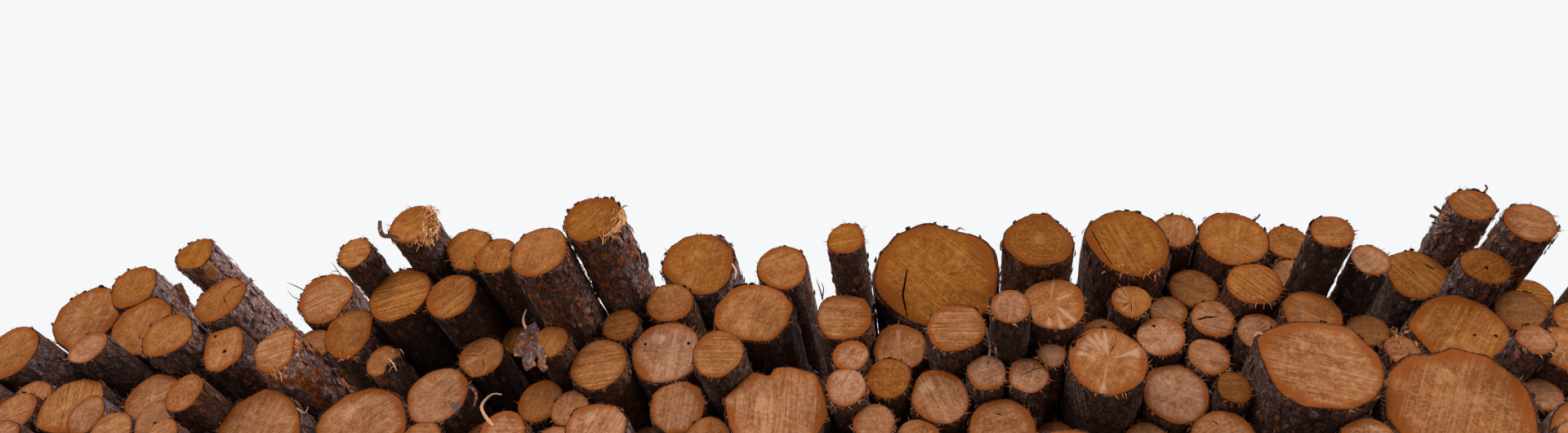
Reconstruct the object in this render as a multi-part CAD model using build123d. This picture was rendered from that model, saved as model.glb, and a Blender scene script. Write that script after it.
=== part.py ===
from build123d import *
from math import cos, hypot, pi, radians, sin
from random import Random
import os

os.makedirs("parts", exist_ok=True)
chance = Random(29)

# Driving sizes of the stack, in millimetres
log_length = 3000
length_spread = 50
front_stagger = 90       # how far the front of an unseen log is out of line
narrowing = 0.04        # share by which the whole stack gets smaller from front to back
gap = 0.3               # clearance between two logs that lie on each other
swell = 1.09            # outline against the round log, so that a contact becomes a flat
press = 0.985           # distance of two touching logs against the sum of their radii
bark = 1.03             # log with its bark against the seen wood of its end

# Unseen lower logs and the sloping ends of the stack
base_left, base_right = -4900, 4300
lower_thickness = (260, 440)
lower_top = 1650
end_thickness = (170, 270)
seen_left, seen_right = -3400, 2700
seen_low = [(seen_left, 2400), (-1500, 2080), (0, 1930), (seen_right, 1900)]
top_left, top_right = 2750, 2300
end_slope = 0.55        # how far the ends step in for each unit of height
course_rise = 0.86      # rise of a course against the mean thickness of its logs
filled_above = 450      # height over the lowest seen logs up to which gaps are filled
filling_back = 400      # how far the logs in the gaps lie back
filling_shorter = 300   # and how much shorter they are than the others
neighbour_reach = 900   # how far off another log can still cut a log's outline

# Point from which the front is looked at: an end that shows above its log's place reaches out to it
eye_across, eye_height, eye_distance = 490, 350, 3200
reach_limits = (-260, 420)

# Each log's seen middle (across, up), thickness and rough reach; names gather logs into parts
seen_logs = {
    "front_row_1": [
        (-2670, 2125, 180, 40), (-2335, 2090, 140, 20), (-1310, 1990, 175, 40), (-1160, 1980, 150, 20),
        (-1030, 1995, 185, 60), (-835, 1955, 135, 40), (-640, 1985, 225, 50), (-330, 1930, 165, 60),
        (290, 1940, 145, 0), (510, 1870, 155, 30), (725, 1890, 225, 0), (900, 1835, 155, 0),
        (1200, 1820, 135, 0), (1420, 1805, 200, 20), (1790, 1765, 160, 0), (2400, 1730, 120, 0),
    ],
    "front_row_2": [
        (-3170, 2245, 195, 0), (-2885, 2255, 275, 60), (-2540, 2265, 225, 40), (-2325, 2275, 165, 0),
        (-1310, 2180, 245, 60), (-895, 2130, 175, -120), (-850, 2085, 145, 0), (-420, 2055, 215, 40),
        (215, 2085, 150, -30), (385, 2110, 165, 30), (505, 2025, 205, 60), (670, 2100, 145, 60),
        (860, 2080, 145, 80), (1315, 1975, 220, 80), (1510, 1980, 115, -60), (2460, 1880, 120, 30),
    ],
    "front_row_3": [
        (-3110, 2300, 195, -150), (-1590, 2350, 160, 0), (-1195, 2335, 175, 40), (-705, 2260, 220, 30),
        (-450, 2290, 265, 50), (-205, 2260, 195, 100), (260, 2210, 130, 90), (430, 2235, 190, 0),
        (630, 2290, 220, 90), (935, 2150, 100, -20), (1115, 2110, 270, 150), (1105, 2210, 150, -40),
        (1310, 2195, 160, 60), (1430, 2105, 140, 20), (2050, 2075, 115, -60), (2445, 2070, 115, 0),
        (2530, 2030, 170, 0),
    ],
    "front_row_4": [
        (-3310, 2545, 255, 40), (-2920, 2530, 160, 60), (-2740, 2615, 265, 0), (-2600, 2555, 220, 60),
        (-2295, 2470, 205, 40), (-2080, 2435, 205, 200), (-1750, 2485, 230, 60), (-1070, 2400, 130, -80),
        (-870, 2375, 145, -30), (-640, 2425, 145, -40), (220, 2375, 210, 90), (815, 2355, 145, 150),
        (1000, 2355, 220, 80), (1235, 2345, 135, 80), (1365, 2290, 130, 0), (1520, 2250, 150, 50),
        (1650, 2185, 145, 0), (1825, 2235, 185, 20), (1995, 2160, 130, -60), (2485, 2190, 160, 0),
        (2605, 2135, 140, 0),
    ],
    "front_row_5": [
        (-2405, 2710, 230, 80), (-1935, 2580, 250, 0), (-1590, 2655, 265, 200), (-1370, 2625, 215, 190),
        (-465, 2510, 180, 0), (-120, 2430, 295, 80), (1480, 2380, 165, 0), (1665, 2375, 185, 60),
        (1815, 2410, 125, 20), (2085, 2430, 130, 150), (2215, 2305, 215, 100), (2425, 2370, 155, 150),
    ],
    "front_row_6": [
        (-2855, 2830, 215, 40), (-2615, 2965, 185, 220), (-1840, 2890, 150, 300), (-1365, 2850, 210, 220),
        (-1215, 2805, 175, 180), (-1015, 2800, 250, 200), (-15, 2625, 195, 220), (260, 2725, 150, 280),
        (1460, 2635, 150, 60), (1650, 2575, 240, 60), (1840, 2545, 145, 20), (1985, 2560, 145, 280),
        (2490, 2635, 145, 300), (2635, 2530, 165, 300),
    ],
    "half_hidden_left_log": [(-3030, 2620, 300, 0)],
    "big_left_log": [(-2040, 2095, 350, 60)],
    "big_middle_log": [(-1595, 2070, 345, 60)],
    "torn_top_log": [(-1595, 3015, 200, 280)],
    "highest_log": [(-785, 2945, 245, 260)],
    "broad_top_log": [(-350, 2680, 290, 90)],
    "heart_shaped_log": [(-30, 2020, 360, 20)],
    "lobed_top_log": [(570, 2525, 470, 60)],
    "dark_hearted_log": [(955, 2645, 260, 150)],
    "cracked_top_log": [(1280, 2595, 310, 150)],
    "pear_shaped_log": [(1790, 2040, 360, 100)],
    "dome_shaped_log": [(2260, 2140, 285, 10)],
    "largest_log": [(2165, 1860, 430, 60)],
}

# Outlines that are far from round: oval share, its direction, three-lobed share, its direction
outlines = {
    "heart_shaped_log": (0.02, 0, 0.10, 30),
    "lobed_top_log": (0.03, 20, 0.07, 100),
    "dark_hearted_log": (0.06, 150, 0.07, 150),
    "cracked_top_log": (0.03, 160, 0.03, 0),
    "pear_shaped_log": (0.11, 155, 0.07, 155),
    "dome_shaped_log": (0.08, 0, 0.06, 90),
    "largest_log": (0.03, 10, 0.05, 60),
}


class Log:
    def __init__(self, part, across, up, thickness):
        self.part, self.across, self.up, self.radius = part, across, up, thickness / 2
        self.wanted_across, self.wanted_up = across, up
        self.seen = None
        self.front = 0

    def distance(self, other):
        return hypot(self.across - other.across, self.up - other.up)

    def share_of_sight(self):
        """How far along the line of sight to its seen end the log lies at its present height."""
        share = (self.up - eye_height) / (self.seen[1] - eye_height)
        return max(1 - reach_limits[1] / eye_distance, min(1 - reach_limits[0] / eye_distance, share))

    def follow_sight(self):
        """Sets thickness, place across and reach, so that the end shows where it is seen."""
        share = self.share_of_sight()
        self.wanted_across = eye_across + share * (self.seen[0] - eye_across)
        self.radius = share * self.seen[2] * bark / 2
        self.front = eye_distance * (share - 1)


def seen_log(part, across, up, thickness, reach):
    """A seen log, brought back along the line of sight by as much as it reaches out."""
    share = (eye_distance - reach) / eye_distance
    log = Log(part, eye_across + share * (across - eye_across), eye_height + share * (up - eye_height), thickness)
    log.seen = (across, up, thickness)
    log.follow_sight()
    return log


def unseen_top(across):
    """Height that the unseen logs fill: up to the lowest seen ones, and higher beside them."""
    if across < seen_left:
        return top_left
    if across > seen_right:
        return top_right
    for (left, height), (right, next_height) in zip(seen_low, seen_low[1:]):
        if left <= across <= right:
            return height + (next_height - height) * (across - left) / (right - left)


def unseen_part(across, up):
    if up < 1650 or seen_left <= across <= seen_right:
        return f"lower_course_{1 + int(up / 330)}"
    return "left_end_logs" if across < seen_left else "right_end_logs"


def unseen_logs():
    """Courses of logs from the ground up, each course a little shorter than the one under it."""
    up = 0.5 * lower_thickness[0]
    while up < max(top_left, top_right):
        thicknesses = lower_thickness if up < lower_top else end_thickness
        edge = base_left + up * end_slope
        while edge < base_right - up * end_slope:
            thickness = chance.uniform(*thicknesses)
            across = edge + thickness / 2
            if up + thickness / 2 < unseen_top(across):
                yield Log(unseen_part(across, up), across, up, thickness)
            edge += thickness
        up += course_rise * (thicknesses[0] + thicknesses[1]) / 2


def settle(logs, rounds, sink, hold_across, hold_up, yielding=0.0):
    """Lets the logs sink and pushes apart those that are closer than they can lie.

    The unseen logs yield: one that is squeezed gets thinner and one that is not gets thicker."""
    for turn in range(rounds):
        for log in logs:
            if log.seen:
                log.follow_sight()
            log.up += hold_up * (log.wanted_up - log.up) - sink
            log.across += hold_across * (log.wanted_across - log.across)
            log.squeeze = 0
        if turn % 5 == 0:
            logs.sort(key=lambda log: log.up)
            pairs = close_pairs(logs)
        for low, high in pairs:
            apart = low.distance(high)
            push = press * (low.radius + high.radius) - apart
            if push > 0:
                ex, ez = (high.across - low.across) / apart, (high.up - low.up) / apart
                share = low.radius ** 2 / (low.radius ** 2 + high.radius ** 2)
                low.across -= push * (1 - share) * ex
                low.up -= push * (1 - share) * ez
                high.across += push * share * ex
                high.up += push * share * ez
                low.squeeze += push
                high.squeeze += push
        for log in logs:
            log.up = max(log.up, press * log.radius)
            if not log.seen:
                change = yielding * (1 - 0.1 * log.squeeze)
                log.radius = min(lower_thickness[1] / 2, max(end_thickness[0] / 2, log.radius + change))


def close_pairs(logs):
    pairs = []
    for i, low in enumerate(logs):
        for high in logs[i + 1:]:
            if high.up - low.up > 600:
                break
            if abs(high.across - low.across) < low.radius + high.radius + 60:
                if high.up - low.up < low.radius + high.radius + 60:
                    pairs.append((low, high))
    return pairs


def fill_gaps(radius):
    """Puts a short-of-the-front log into each hole of the stack that is wide enough for it."""
    step = radius / 2
    for row in range(int(top_left / step)):
        for column in range(int((base_right - base_left) / step)):
            across, up = base_left + column * step, row * step
            low, high = base_left + up * end_slope, base_right - up * end_slope
            higher = filled_above if seen_left < across < seen_right else -2 * radius
            if up > radius and low < across < high and up < unseen_top(across) + higher:
                room = min(hypot(log.across - across, log.up - up) - log.radius for log in laid)
                if room > 0.96 * radius:
                    laid.append(Log("filling_logs", across, up, 2 * radius))


laid = list(unseen_logs())
laid += [seen_log(part, *values) for part, logs in seen_logs.items() for values in logs]
settle(laid, 150, 0.5, 0.05, 0.05, 0.3)
for thickness in range(300, 80, -20):
    fill_gaps(thickness / 2)
    settle(laid, 15, 0.5, 0.05, 0.05)
settle(laid, 250, 1.0, 0.13, 0)
settle(laid, 60, 0.2, 0.078, 0)
mean_front = sum(log.front for log in laid if log.seen) / sum(1 for log in laid if log.seen)


def near(log, span):
    return [other for other in laid if abs(other.across - log.across) < span and abs(other.up - log.up) < span]


def outline(log):
    """Cross-section at the front, cut back to flats where it meets its neighbours and the ground."""
    oval, oval_turn, lobe, lobe_turn = outlines.get(log.part, (
        chance.uniform(0.01, 0.05), chance.uniform(0, 180), chance.uniform(0.0, 0.03), chance.uniform(0, 120)))
    sides = 7 + round(log.radius / 60) + (2 if log.seen else 0)
    start = chance.uniform(0, 2 * pi)
    points = []
    for i in range(sides):
        turn = start + 2 * pi * i / sides
        radius = log.radius * swell * (1 + oval * cos(2 * (turn - radians(oval_turn)))
                                       + lobe * cos(3 * (turn - radians(lobe_turn))))
        points.append((log.across + radius * cos(turn), log.up + radius * sin(turn)))
    for other in near(log, neighbour_reach):
        apart = log.distance(other)
        if other is log or apart > 1.2 * (log.radius + other.radius):
            continue
        reach = (apart * apart + log.radius ** 2 - other.radius ** 2) / (2 * apart) - gap / 2
        ex, ez = (other.across - log.across) / apart, (other.up - log.up) / apart
        points = cut(points, ex, ez, ex * log.across + ez * log.up + reach)
    return cut(points, 0, -1, 0)


def cut(points, ex, ez, limit):
    """Keeps the part of a convex outline where ex * across + ez * up is at most the limit."""
    kept = []
    for i, (x, z) in enumerate(points):
        nx, nz = points[(i + 1) % len(points)]
        here, there = ex * x + ez * z - limit, ex * nx + ez * nz - limit
        if here <= 0:
            kept.append((x, z))
        if here * there < 0:
            share = here / (here - there)
            kept.append((x + share * (nx - x), z + share * (nz - z)))
    return kept


def tidied(points, shortest):
    """Leaves out points that lie closer to a kept one than the shortest side."""
    kept = []
    for x, z in points:
        if all(hypot(x - kx, z - kz) > shortest for kx, kz in kept):
            kept.append((x, z))
    return kept


def saw_cut(log, points, front, lean_across, lean_up):
    """Corners of the outline in a nearly square saw cut through the narrowing log."""
    corners = []
    for x, z in points:
        lean = 1 + narrowing / log_length * (lean_across * x + lean_up * z)
        y = (front + lean_across * (x - log.across) + lean_up * (z - log.up)) / lean
        scale = 1 - narrowing * y / log_length
        corners.append((x * scale, y, z * scale))
    return corners


def log_solid(log):
    start = log.front if log.seen else mean_front + chance.uniform(-front_stagger, front_stagger)
    length = log_length + chance.uniform(-length_spread, length_spread)
    points = tidied(outline(log), 0.17 * log.radius)
    if log.part == "filling_logs":
        start += filling_back
        length -= filling_shorter
    front = saw_cut(log, points, start, chance.uniform(-0.06, 0.06), chance.uniform(-0.06, 0.06))
    back = saw_cut(log, points, start + length, chance.uniform(-0.05, 0.05), chance.uniform(-0.05, 0.05))
    faces = [Face(Wire.make_polygon(front)), Face(Wire.make_polygon(back))]
    for i in range(len(points)):
        j = (i + 1) % len(points)
        faces.append(Face(Wire.make_polygon([front[i], front[j], back[j], back[i]])))
    return Solid(Shell(faces))


solids = {}
for log in laid:
    solids.setdefault(log.part, []).append(log_solid(log))

boxes = [solid.bounding_box() for group in solids.values() for solid in group]
middle_across = (min(b.min.X for b in boxes) + max(b.max.X for b in boxes)) / 2
middle_deep = (min(b.min.Y for b in boxes) + max(b.max.Y for b in boxes)) / 2
for part, group in solids.items():
    moved = [solid.moved(Location((-middle_across, -middle_deep, 0))) for solid in group]
    export_step(moved[0] if len(moved) == 1 else Compound(moved), f"parts/{part}.step")
print(len(laid), "logs in", len(solids), "parts; middle at", round(middle_across), round(middle_deep))
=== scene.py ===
from math import atan2, cos, exp, hypot, pi, radians, sin
from random import Random

import bpy
import numpy as np
from mathutils import Euler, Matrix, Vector, noise
from mathutils.geometry import delaunay_2d_cdt


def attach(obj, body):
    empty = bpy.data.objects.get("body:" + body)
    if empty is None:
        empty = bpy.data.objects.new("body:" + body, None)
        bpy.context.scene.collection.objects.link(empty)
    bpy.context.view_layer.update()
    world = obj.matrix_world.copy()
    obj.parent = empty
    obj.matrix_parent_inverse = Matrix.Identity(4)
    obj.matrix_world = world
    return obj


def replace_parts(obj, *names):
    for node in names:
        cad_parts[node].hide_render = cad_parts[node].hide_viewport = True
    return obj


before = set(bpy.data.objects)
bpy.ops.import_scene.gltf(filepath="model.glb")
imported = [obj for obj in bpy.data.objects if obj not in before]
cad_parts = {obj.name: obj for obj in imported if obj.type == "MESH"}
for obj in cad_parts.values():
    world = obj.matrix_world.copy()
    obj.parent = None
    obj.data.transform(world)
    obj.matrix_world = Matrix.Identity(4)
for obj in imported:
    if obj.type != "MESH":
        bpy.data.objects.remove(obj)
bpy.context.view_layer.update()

chance = Random(7)
print("frame loaded:", len(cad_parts), "nodes")

# Camera at the place and angle of the photograph: metres, degrees, and pixels of its 1920 x 530 frame
camera = {"place": (0.644, -4.650, 0.350), "tilt": 127.97, "turn": 8.76, "focal": 1250,
          "picture": (1920, 530), "sensor": 36, "clip": (0.05, 300)}

cameraData = bpy.data.cameras.new("camera")
cameraData.sensor_width = camera["sensor"]
cameraData.lens = camera["focal"] * camera["sensor"] / camera["picture"][0]
cameraData.clip_start, cameraData.clip_end = camera["clip"]
cameraObject = bpy.data.objects.new("camera", cameraData)
cameraObject.location = camera["place"]
cameraObject.rotation_euler = (radians(camera["tilt"]), 0, radians(camera["turn"]))
bpy.context.scene.collection.objects.link(cameraObject)
bpy.context.scene.camera = cameraObject
eye = Vector(camera["place"])
eyeTurn = Euler(cameraObject.rotation_euler).to_matrix()
middleU, middleV = (size / 2 for size in camera["picture"])


def sightLine(u, v):
    # the direction in which a place of the picture is seen
    return (eyeTurn @ Vector((u - middleU, middleV - v, -camera["focal"]))).normalized()


def pictured(point):
    # where a point is seen in the picture
    seen = eyeTurn.transposed() @ (Vector(point) - eye)
    return middleU - camera["focal"] * seen.x / seen.z, middleV + camera["focal"] * seen.y / seen.z


# Shader maths: a Value wraps a socket, a Finish makes the nodes of one material
def operator(operation, reflected=False):
    return lambda self, other=0.0: self.maths(operation, *((other, self) if reflected else (self, other)))


class Value:
    def __init__(self, finish, socket):
        self.finish, self.socket = finish, socket

    def maths(self, operation, first, second=0.0):
        return self.finish.node("ShaderNodeMath", {"operation": operation}, {0: first, 1: second})

    __add__ = __radd__ = operator("ADD")
    __sub__, __rsub__ = operator("SUBTRACT"), operator("SUBTRACT", True)
    __mul__ = __rmul__ = operator("MULTIPLY")
    __pow__, least, most = operator("POWER"), operator("MINIMUM"), operator("MAXIMUM")
    sine, cosine = operator("SINE"), operator("COSINE")

    def between(self, low, high):
        return self.finish.node("ShaderNodeMapRange", {"interpolation_type": "SMOOTHSTEP"},
                                {"Value": self, "From Min": low, "From Max": high})


class Finish:
    # the nodes of one material or world
    def __init__(self, owner):
        owner.use_nodes = True
        self.owner, self.nodes, self.links = owner, owner.node_tree.nodes, owner.node_tree.links
        self.nodes.clear()

    def node(self, kind, settings=None, sockets=None, output=0):
        made = self.nodes.new(kind)
        for name, value in (settings or {}).items():
            setattr(made, name, value)
        for name, value in (sockets or {}).items():
            if isinstance(value, Value):
                self.links.new(value.socket, made.inputs[name])
            else:
                made.inputs[name].default_value = value
        return Value(self, made.outputs[output])

    def mix(self, share, first, second, blend="MIX"):
        return self.node("ShaderNodeMix", {"data_type": "RGBA", "blend_type": blend},
                         {0: share, 6: first, 7: second}, 2)

    def times(self, colour, amount):
        return self.mix(1.0, colour, self.vector(amount, amount, amount), "MULTIPLY")

    def kept(self, name, output=1):
        return self.node("ShaderNodeAttribute", {"attribute_name": name}, output=output)

    def vector(self, *parts):
        return self.node("ShaderNodeCombineXYZ", None, dict(enumerate(parts)))

    def parts(self, vector):
        return [self.node("ShaderNodeSeparateXYZ", None, {0: vector}, i) for i in range(3)]

    def mottles(self, vector, seed, settings):
        # noises by name, each with its scale, its step from the seed, its detail and its roughness
        return {name: self.node("ShaderNodeTexNoise", {"noise_dimensions": "4D"},
                                {"Vector": vector, "W": seed + step, "Scale": scale, "Detail": detail,
                                 "Roughness": rough})
                for name, (scale, step, detail, rough) in settings.items()}

    def layered(self, colour, layers, patterns, limits, colours):
        # each layer: its pattern, where that starts and ends, what limits it, how strong it is, its colour
        for pattern, low, high, limit, amount, name in layers:
            share = patterns[pattern].between(low, high) * limits[limit] * amount
            colour = self.mix(share, colour, colours[name])
        return colour

    def shownRays(self):
        rays = [self.node("ShaderNodeLightPath", None, None, name) for name in
                ("Is Camera Ray", "Is Glossy Ray", "Is Transmission Ray")]
        return rays[0].most(rays[1]).most(rays[2])

    def surface(self, look, colour, grain, height=None):
        evenness, unevenness = look["rough"]
        sockets = {"Base Color": colour, "Roughness": grain * unevenness + evenness,
                   "Specular IOR Level": look["specular"]}
        if height is not None:
            distance, strength = look["bump"]
            sockets["Normal"] = self.node("ShaderNodeBump", None,
                                          {"Strength": strength, "Distance": distance, "Height": height})
        self.close(self.node("ShaderNodeBsdfPrincipled", None, sockets), "ShaderNodeOutputMaterial")
        return self.owner

    def close(self, shader, kind):
        self.links.new(shader.socket, self.nodes.new(kind).inputs["Surface"])


def tint(red, green, blue):
    # a screen colour of 0 to 255 as the linear colour a socket takes
    shares = [c / 255 for c in (red, green, blue)]
    return [c / 12.92 if c <= 0.04045 else ((c + 0.055) / 1.055) ** 2.4 for c in shares] + [1.0]


# Sawn wood of the ends. Kept on its points: place = (across, up, share of the way to the rim),
# marks = (saw marks, rays, rings), tone = (pinkness, lightness, direction of the saw marks),
# spots = (dark, pale, grey); dark is painted shade along the middle of a crack and the darkness of dark round
# marks, pale is paler wood and, on some torn fibres, painted sunlight. Widths in metres, heights as shares of
# the bump's distance
sawnWood = {
    "honey": tint(152, 87, 22), "peach": tint(168, 117, 88), "rim": tint(138, 68, 12), "edge": tint(40, 19, 8),
    "stain": tint(112, 54, 9), "honeyPale": tint(200, 138, 66), "peachPale": tint(214, 174, 150),
    # dark: painted shade in the cracks' grooves, and the colour of dark round marks
    "dark": tint(24, 12, 8), "grey": tint(92, 84, 88),
    "ringWidth": 0.017, "ringBend": (9, 2), "sawWidth": 0.017, "sawBend": (4, 5), "leastBand": 0.25,
    "spokeLength": 2.2, "starCore": 0.3, "heart": (0.28, 0.42), "heartBend": 0.1, "rimBend": (0.65, 0.3),
    "edgeBend": 0.06, "rayFade": 1.15,
    "mottles": {"broad": (7, 0, 2, 0.55), "patch": (26, 5.1, 4, 0.65), "grit": (95, 2.7, 3, 0.7),
                "fine": (300, 0, 3, 0.7)},
    "spokes": {"rayLine": (14, 0, 3, 0.75), "starLine": (2.3, 9.3, 1, 0.5)},
    # fineness across and along the saw marks, step from the seed, detail
    "sawMarks": {"sawLine": (260, 9, 0.0, 2), "sawBand": (120, 5, 3.3, 3)},
    "sawRough": 0.6,
    "layers": (
        ("broad", 0.42, 0.66, "all", 0.55, "stain"), ("patch", 0.47, 0.66, "all", 0.3, "paleWood"),
        ("patch", 0.5, 0.34, "all", 0.35, "stain"), ("ringWave", -0.2, 1, "rings", 0.5, "stain"),
        ("heartEdge", 0.72, 0.5, "heart", 0.55, "rim"), ("sawLine", 0.5, 0.7, "saw", 0.55, "paleWood"),
        ("sawLine", 0.5, 0.32, "saw", 0.6, "rim"), ("sawBand", 0.5, 0.65, "sawShown", 0.5, "paleWood"),
        ("sawBand", 0.5, 0.35, "sawShown", 0.6, "stain"), ("rayLine", 0.53, 0.64, "inner", 0.55, "paleWood"),
        ("rayLine", 0.47, 0.36, "all", 0.45, "stain"), ("starLine", 0.6, 0.66, "rays", 0.5, "peachPale"),
        ("grit", 0.5, 0.66, "all", 0.32, "rim"), ("grit", 0.5, 0.36, "all", 0.3, "paleWood"),
        ("fine", 0.45, 0.75, "all", 0.3, "stain"), ("patch", 0.35, 0.6, "pale", 0.85, "paleWood"),
        ("rimShare", 1.21, 1.42, "all", 0.85, "rim"), ("grit", 0.3, 0.5, "grey", 1, "grey"),
        ("edgeShare", 0.98, 1.03, "all", 0.9, "edge"), ("darkness", 0.05, 0.5, "all", 1, "dark")),
    "heights": (("fine", "all", 0.5), ("grit", "all", 1), ("sawWave", "saw", 0.2), ("sawLine", "saw", 0.9),
                ("sawBand", "sawShown", 1.3), ("ringWave", "rings", 0.15), ("patch", "all", 1)),
    "rough": (0.72, 0.2), "bump": (0.002, 0.7), "specular": 0.1}


def sawnWoodFinish():
    f, s = Finish(bpy.data.materials.new("sawn_wood")), sawnWood
    across, up, share = f.parts(f.kept("place"))
    saw, rays, rings = f.parts(f.kept("marks"))
    pink, light, sawTurn = f.parts(f.kept("tone"))
    dark, pale, grey = f.parts(f.kept("spots"))
    seed = f.kept("seed", 2)
    patterns = f.mottles(f.vector(across, up, 0.0), seed, s["mottles"])
    broad, patch, grit = patterns["broad"], patterns["patch"], patterns["grit"]

    away = (across * across + up * up) ** 0.5
    broadBend, patchBend = s["ringBend"]
    patterns["ringWave"] = (away * (2 * pi / s["ringWidth"]) + broad * broadBend + patch * patchBend).sine()
    cosine, sine = sawTurn.cosine(), sawTurn.sine()
    sawAlong = across * cosine + up * sine
    sawPlace = up * cosine - across * sine
    broadBend, patchBend = s["sawBend"]
    patterns["sawWave"] = (sawPlace * (2 * pi / s["sawWidth"]) + patch * patchBend + broad * broadBend).sine()
    for name, (crossFine, longFine, step, detail) in s["sawMarks"].items():
        lines = f.vector(sawPlace * crossFine, sawAlong * longFine, seed)
        patterns |= f.mottles(lines, step, {name: (1, 0, detail, s["sawRough"])})
    angle = f.node("ShaderNodeMath", {"operation": "ARCTAN2"}, {0: up, 1: across})
    spokes = f.vector(angle.cosine(), angle.sine(), away * s["spokeLength"])
    patterns |= f.mottles(spokes, seed, s["spokes"])
    broadBend, patchBend = s["rimBend"]
    # darkness: the spots' dark share, painted shade along cracks and the dark of round marks
    patterns |= {"heartEdge": share + broad * s["heartBend"], "darkness": dark,
                 "rimShare": share + broad * broadBend + patch * patchBend,
                 "edgeShare": share + grit * s["edgeBend"]}
    limits = {"all": 1, "saw": saw, "sawShown": saw * (1 - s["leastBand"]) + s["leastBand"], "rings": rings,
              "heart": share.between(*s["heart"]) * rings, "rays": rays * share.between(0, s["starCore"]),
              "inner": s["rayFade"] - share, "pale": pale, "grey": grey}

    colours = {**s, "paleWood": f.mix(pink, s["honeyPale"], s["peachPale"])}
    colour = f.layered(f.mix(pink, s["honey"], s["peach"]), s["layers"], patterns, limits, colours)
    height = sum(patterns[name] * limits[limit] * amount for name, limit, amount in s["heights"])
    return f.surface(s, f.times(colour, light), patterns["fine"], height)


# Bark. Kept on its points: tone = (greyness, redness, darkness; below 0 it is lighter, painted light on bark
# that the lamps leave in shade)
barkLook = {
    "brown": tint(132, 92, 74), "grey": tint(206, 180, 186), "red": tint(214, 122, 60),
    "crack": tint(26, 17, 13), "stretch": (1.0, 0.5, 1.0), "bend": 0.12, "plateScale": 38, "plateEdge": 0.2,
    "wave": {"Scale": 22, "Detail": 4, "Roughness": 0.7}, "mottles": {"fine": (330, 0, 2, 0.6)},
    "longMottles": {"flake": (70, 0, 5, 0.7), "broad": (9, 0, 3, 0.55)},
    # how much lighter a darkness below 0 makes the bark: the gain of the painted light
    "blotch": (0.7, 0.4), "paintedLight": 2,
    "paleness": (("broad", 0.3, 0.6, 0.3), ("flake", 0.4, 0.65, 0.6)), "plateShade": 0.45, "bare": 0.2,
    "layers": (("blotch", 0.5, 0.75, "redness", 1, "red"), ("fine", 0.4, 0.7, "all", 0.35, "crack"),
               ("flake", 0.47, 0.3, "all", 0.55, "crack"), ("edge", 0.2, 0, "all", 0.6, "crack")),
    "heights": (("plate", 0.7), ("flake", 1.1), ("fine", 0.15)),
    "rough": (0.85, 0.1), "bump": (0.008, 0.9), "specular": 0.15}


def barkFinish():
    f, s = Finish(bpy.data.materials.new("bark")), barkLook
    greyness, redness, darkness = f.parts(f.kept("tone"))
    seed = f.kept("seed", 2)
    place = f.node("ShaderNodeTexCoord", None, None, 3)
    along = f.node("ShaderNodeVectorMath", {"operation": "MULTIPLY"}, {0: place, 1: s["stretch"]})
    wave = f.node("ShaderNodeTexNoise", None, {"Vector": along, **s["wave"]}, 1)
    bent = f.node("ShaderNodeMix", {"data_type": "VECTOR"}, {0: s["bend"], 4: along, 5: wave}, 1)
    plates = {"Vector": bent, "Scale": s["plateScale"]}
    edge = f.node("ShaderNodeTexVoronoi", {"feature": "DISTANCE_TO_EDGE"}, plates)
    shade, blush, _ = f.parts(f.node("ShaderNodeTexVoronoi", {"feature": "F1"}, plates, 1))
    patterns = f.mottles(along, seed, s["longMottles"]) | f.mottles(place, seed, s["mottles"])
    flakeShare, plateShare = s["blotch"]
    patterns |= {"edge": edge, "plate": edge.between(0, s["plateEdge"]),
                 "blotch": patterns["flake"] * flakeShare + blush * plateShare}

    paleness = sum(patterns[name].between(low, high) * amount for name, low, high, amount in s["paleness"])
    paleness = (paleness + shade * s["plateShade"] - s["bare"]) * greyness
    colour = f.mix(paleness, s["brown"], s["grey"])
    colour = f.layered(colour, s["layers"], patterns, {"all": 1, "redness": redness}, s)
    # darkness above 0 mixes the bark toward the crack colour; below 0 it makes the bark lighter: painted light
    # on flanks that lie in shade
    colour = f.mix(darkness, colour, s["crack"])
    colour = f.times(colour, 1 - darkness.least(0) * s["paintedLight"])
    height = sum(patterns[name] * amount for name, amount in s["heights"])
    return f.surface(s, colour, patterns["fine"], height)


woodMaterial, barkMaterial = sawnWoodFinish(), barkFinish()
print("finishes made")

# Reading the logs: vertices in the same 20,000th of a metre are one; what counts as out of reach, as facing
# away and as in line
reading = {"weld": 20000, "far": 1e9, "slight": 1e-9, "inLine": 1e-12}


# A log as it lies in the frame: its solid's corners at the front and the back
class Log:
    pass


def logsOf(node):
    # the separate solids of one CAD object, each as a log
    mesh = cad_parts[node].data
    places = {}
    index = [places.setdefault(tuple(round(c * reading["weld"]) for c in v.co), len(places))
             for v in mesh.vertices]
    corners = [None] * len(places)
    for i, v in zip(index, mesh.vertices):
        corners[i] = Vector(v.co)
    group = list(range(len(corners)))

    def top(i):
        while group[i] != i:
            i = group[i]
        return i

    for face in mesh.polygons:
        ends = [top(index[i]) for i in face.vertices]
        for i in ends:
            group[i] = min(ends)
    solids = {}
    for i, corner in enumerate(corners):
        solids.setdefault(top(i), []).append(corner)
    for solid in solids.values():
        log = Log()
        middle = sum(c.y for c in solid) / len(solid)
        log.node = node
        log.front = turned([c for c in solid if c.y < middle])
        log.back = turned([c for c in solid if c.y >= middle])
        log.frontMiddle, log.backMiddle = centre(log.front), centre(log.back)
        log.frontPlane, log.backPlane = planeOf(log.front), planeOf(log.back)
        yield log


def turned(corners):
    middle = sum(corners, Vector()) / len(corners)
    return sorted(corners, key=lambda c: atan2(c.z - middle.z, c.x - middle.x))


def centre(corners):
    area = x = z = 0
    for a, b in zip(corners, corners[1:] + corners[:1]):
        piece = a.x * b.z - b.x * a.z
        area, x, z = area + piece, x + (a.x + b.x) * piece, z + (a.z + b.z) * piece
    return Vector((x / (3 * area), 0, z / (3 * area)))


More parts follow.
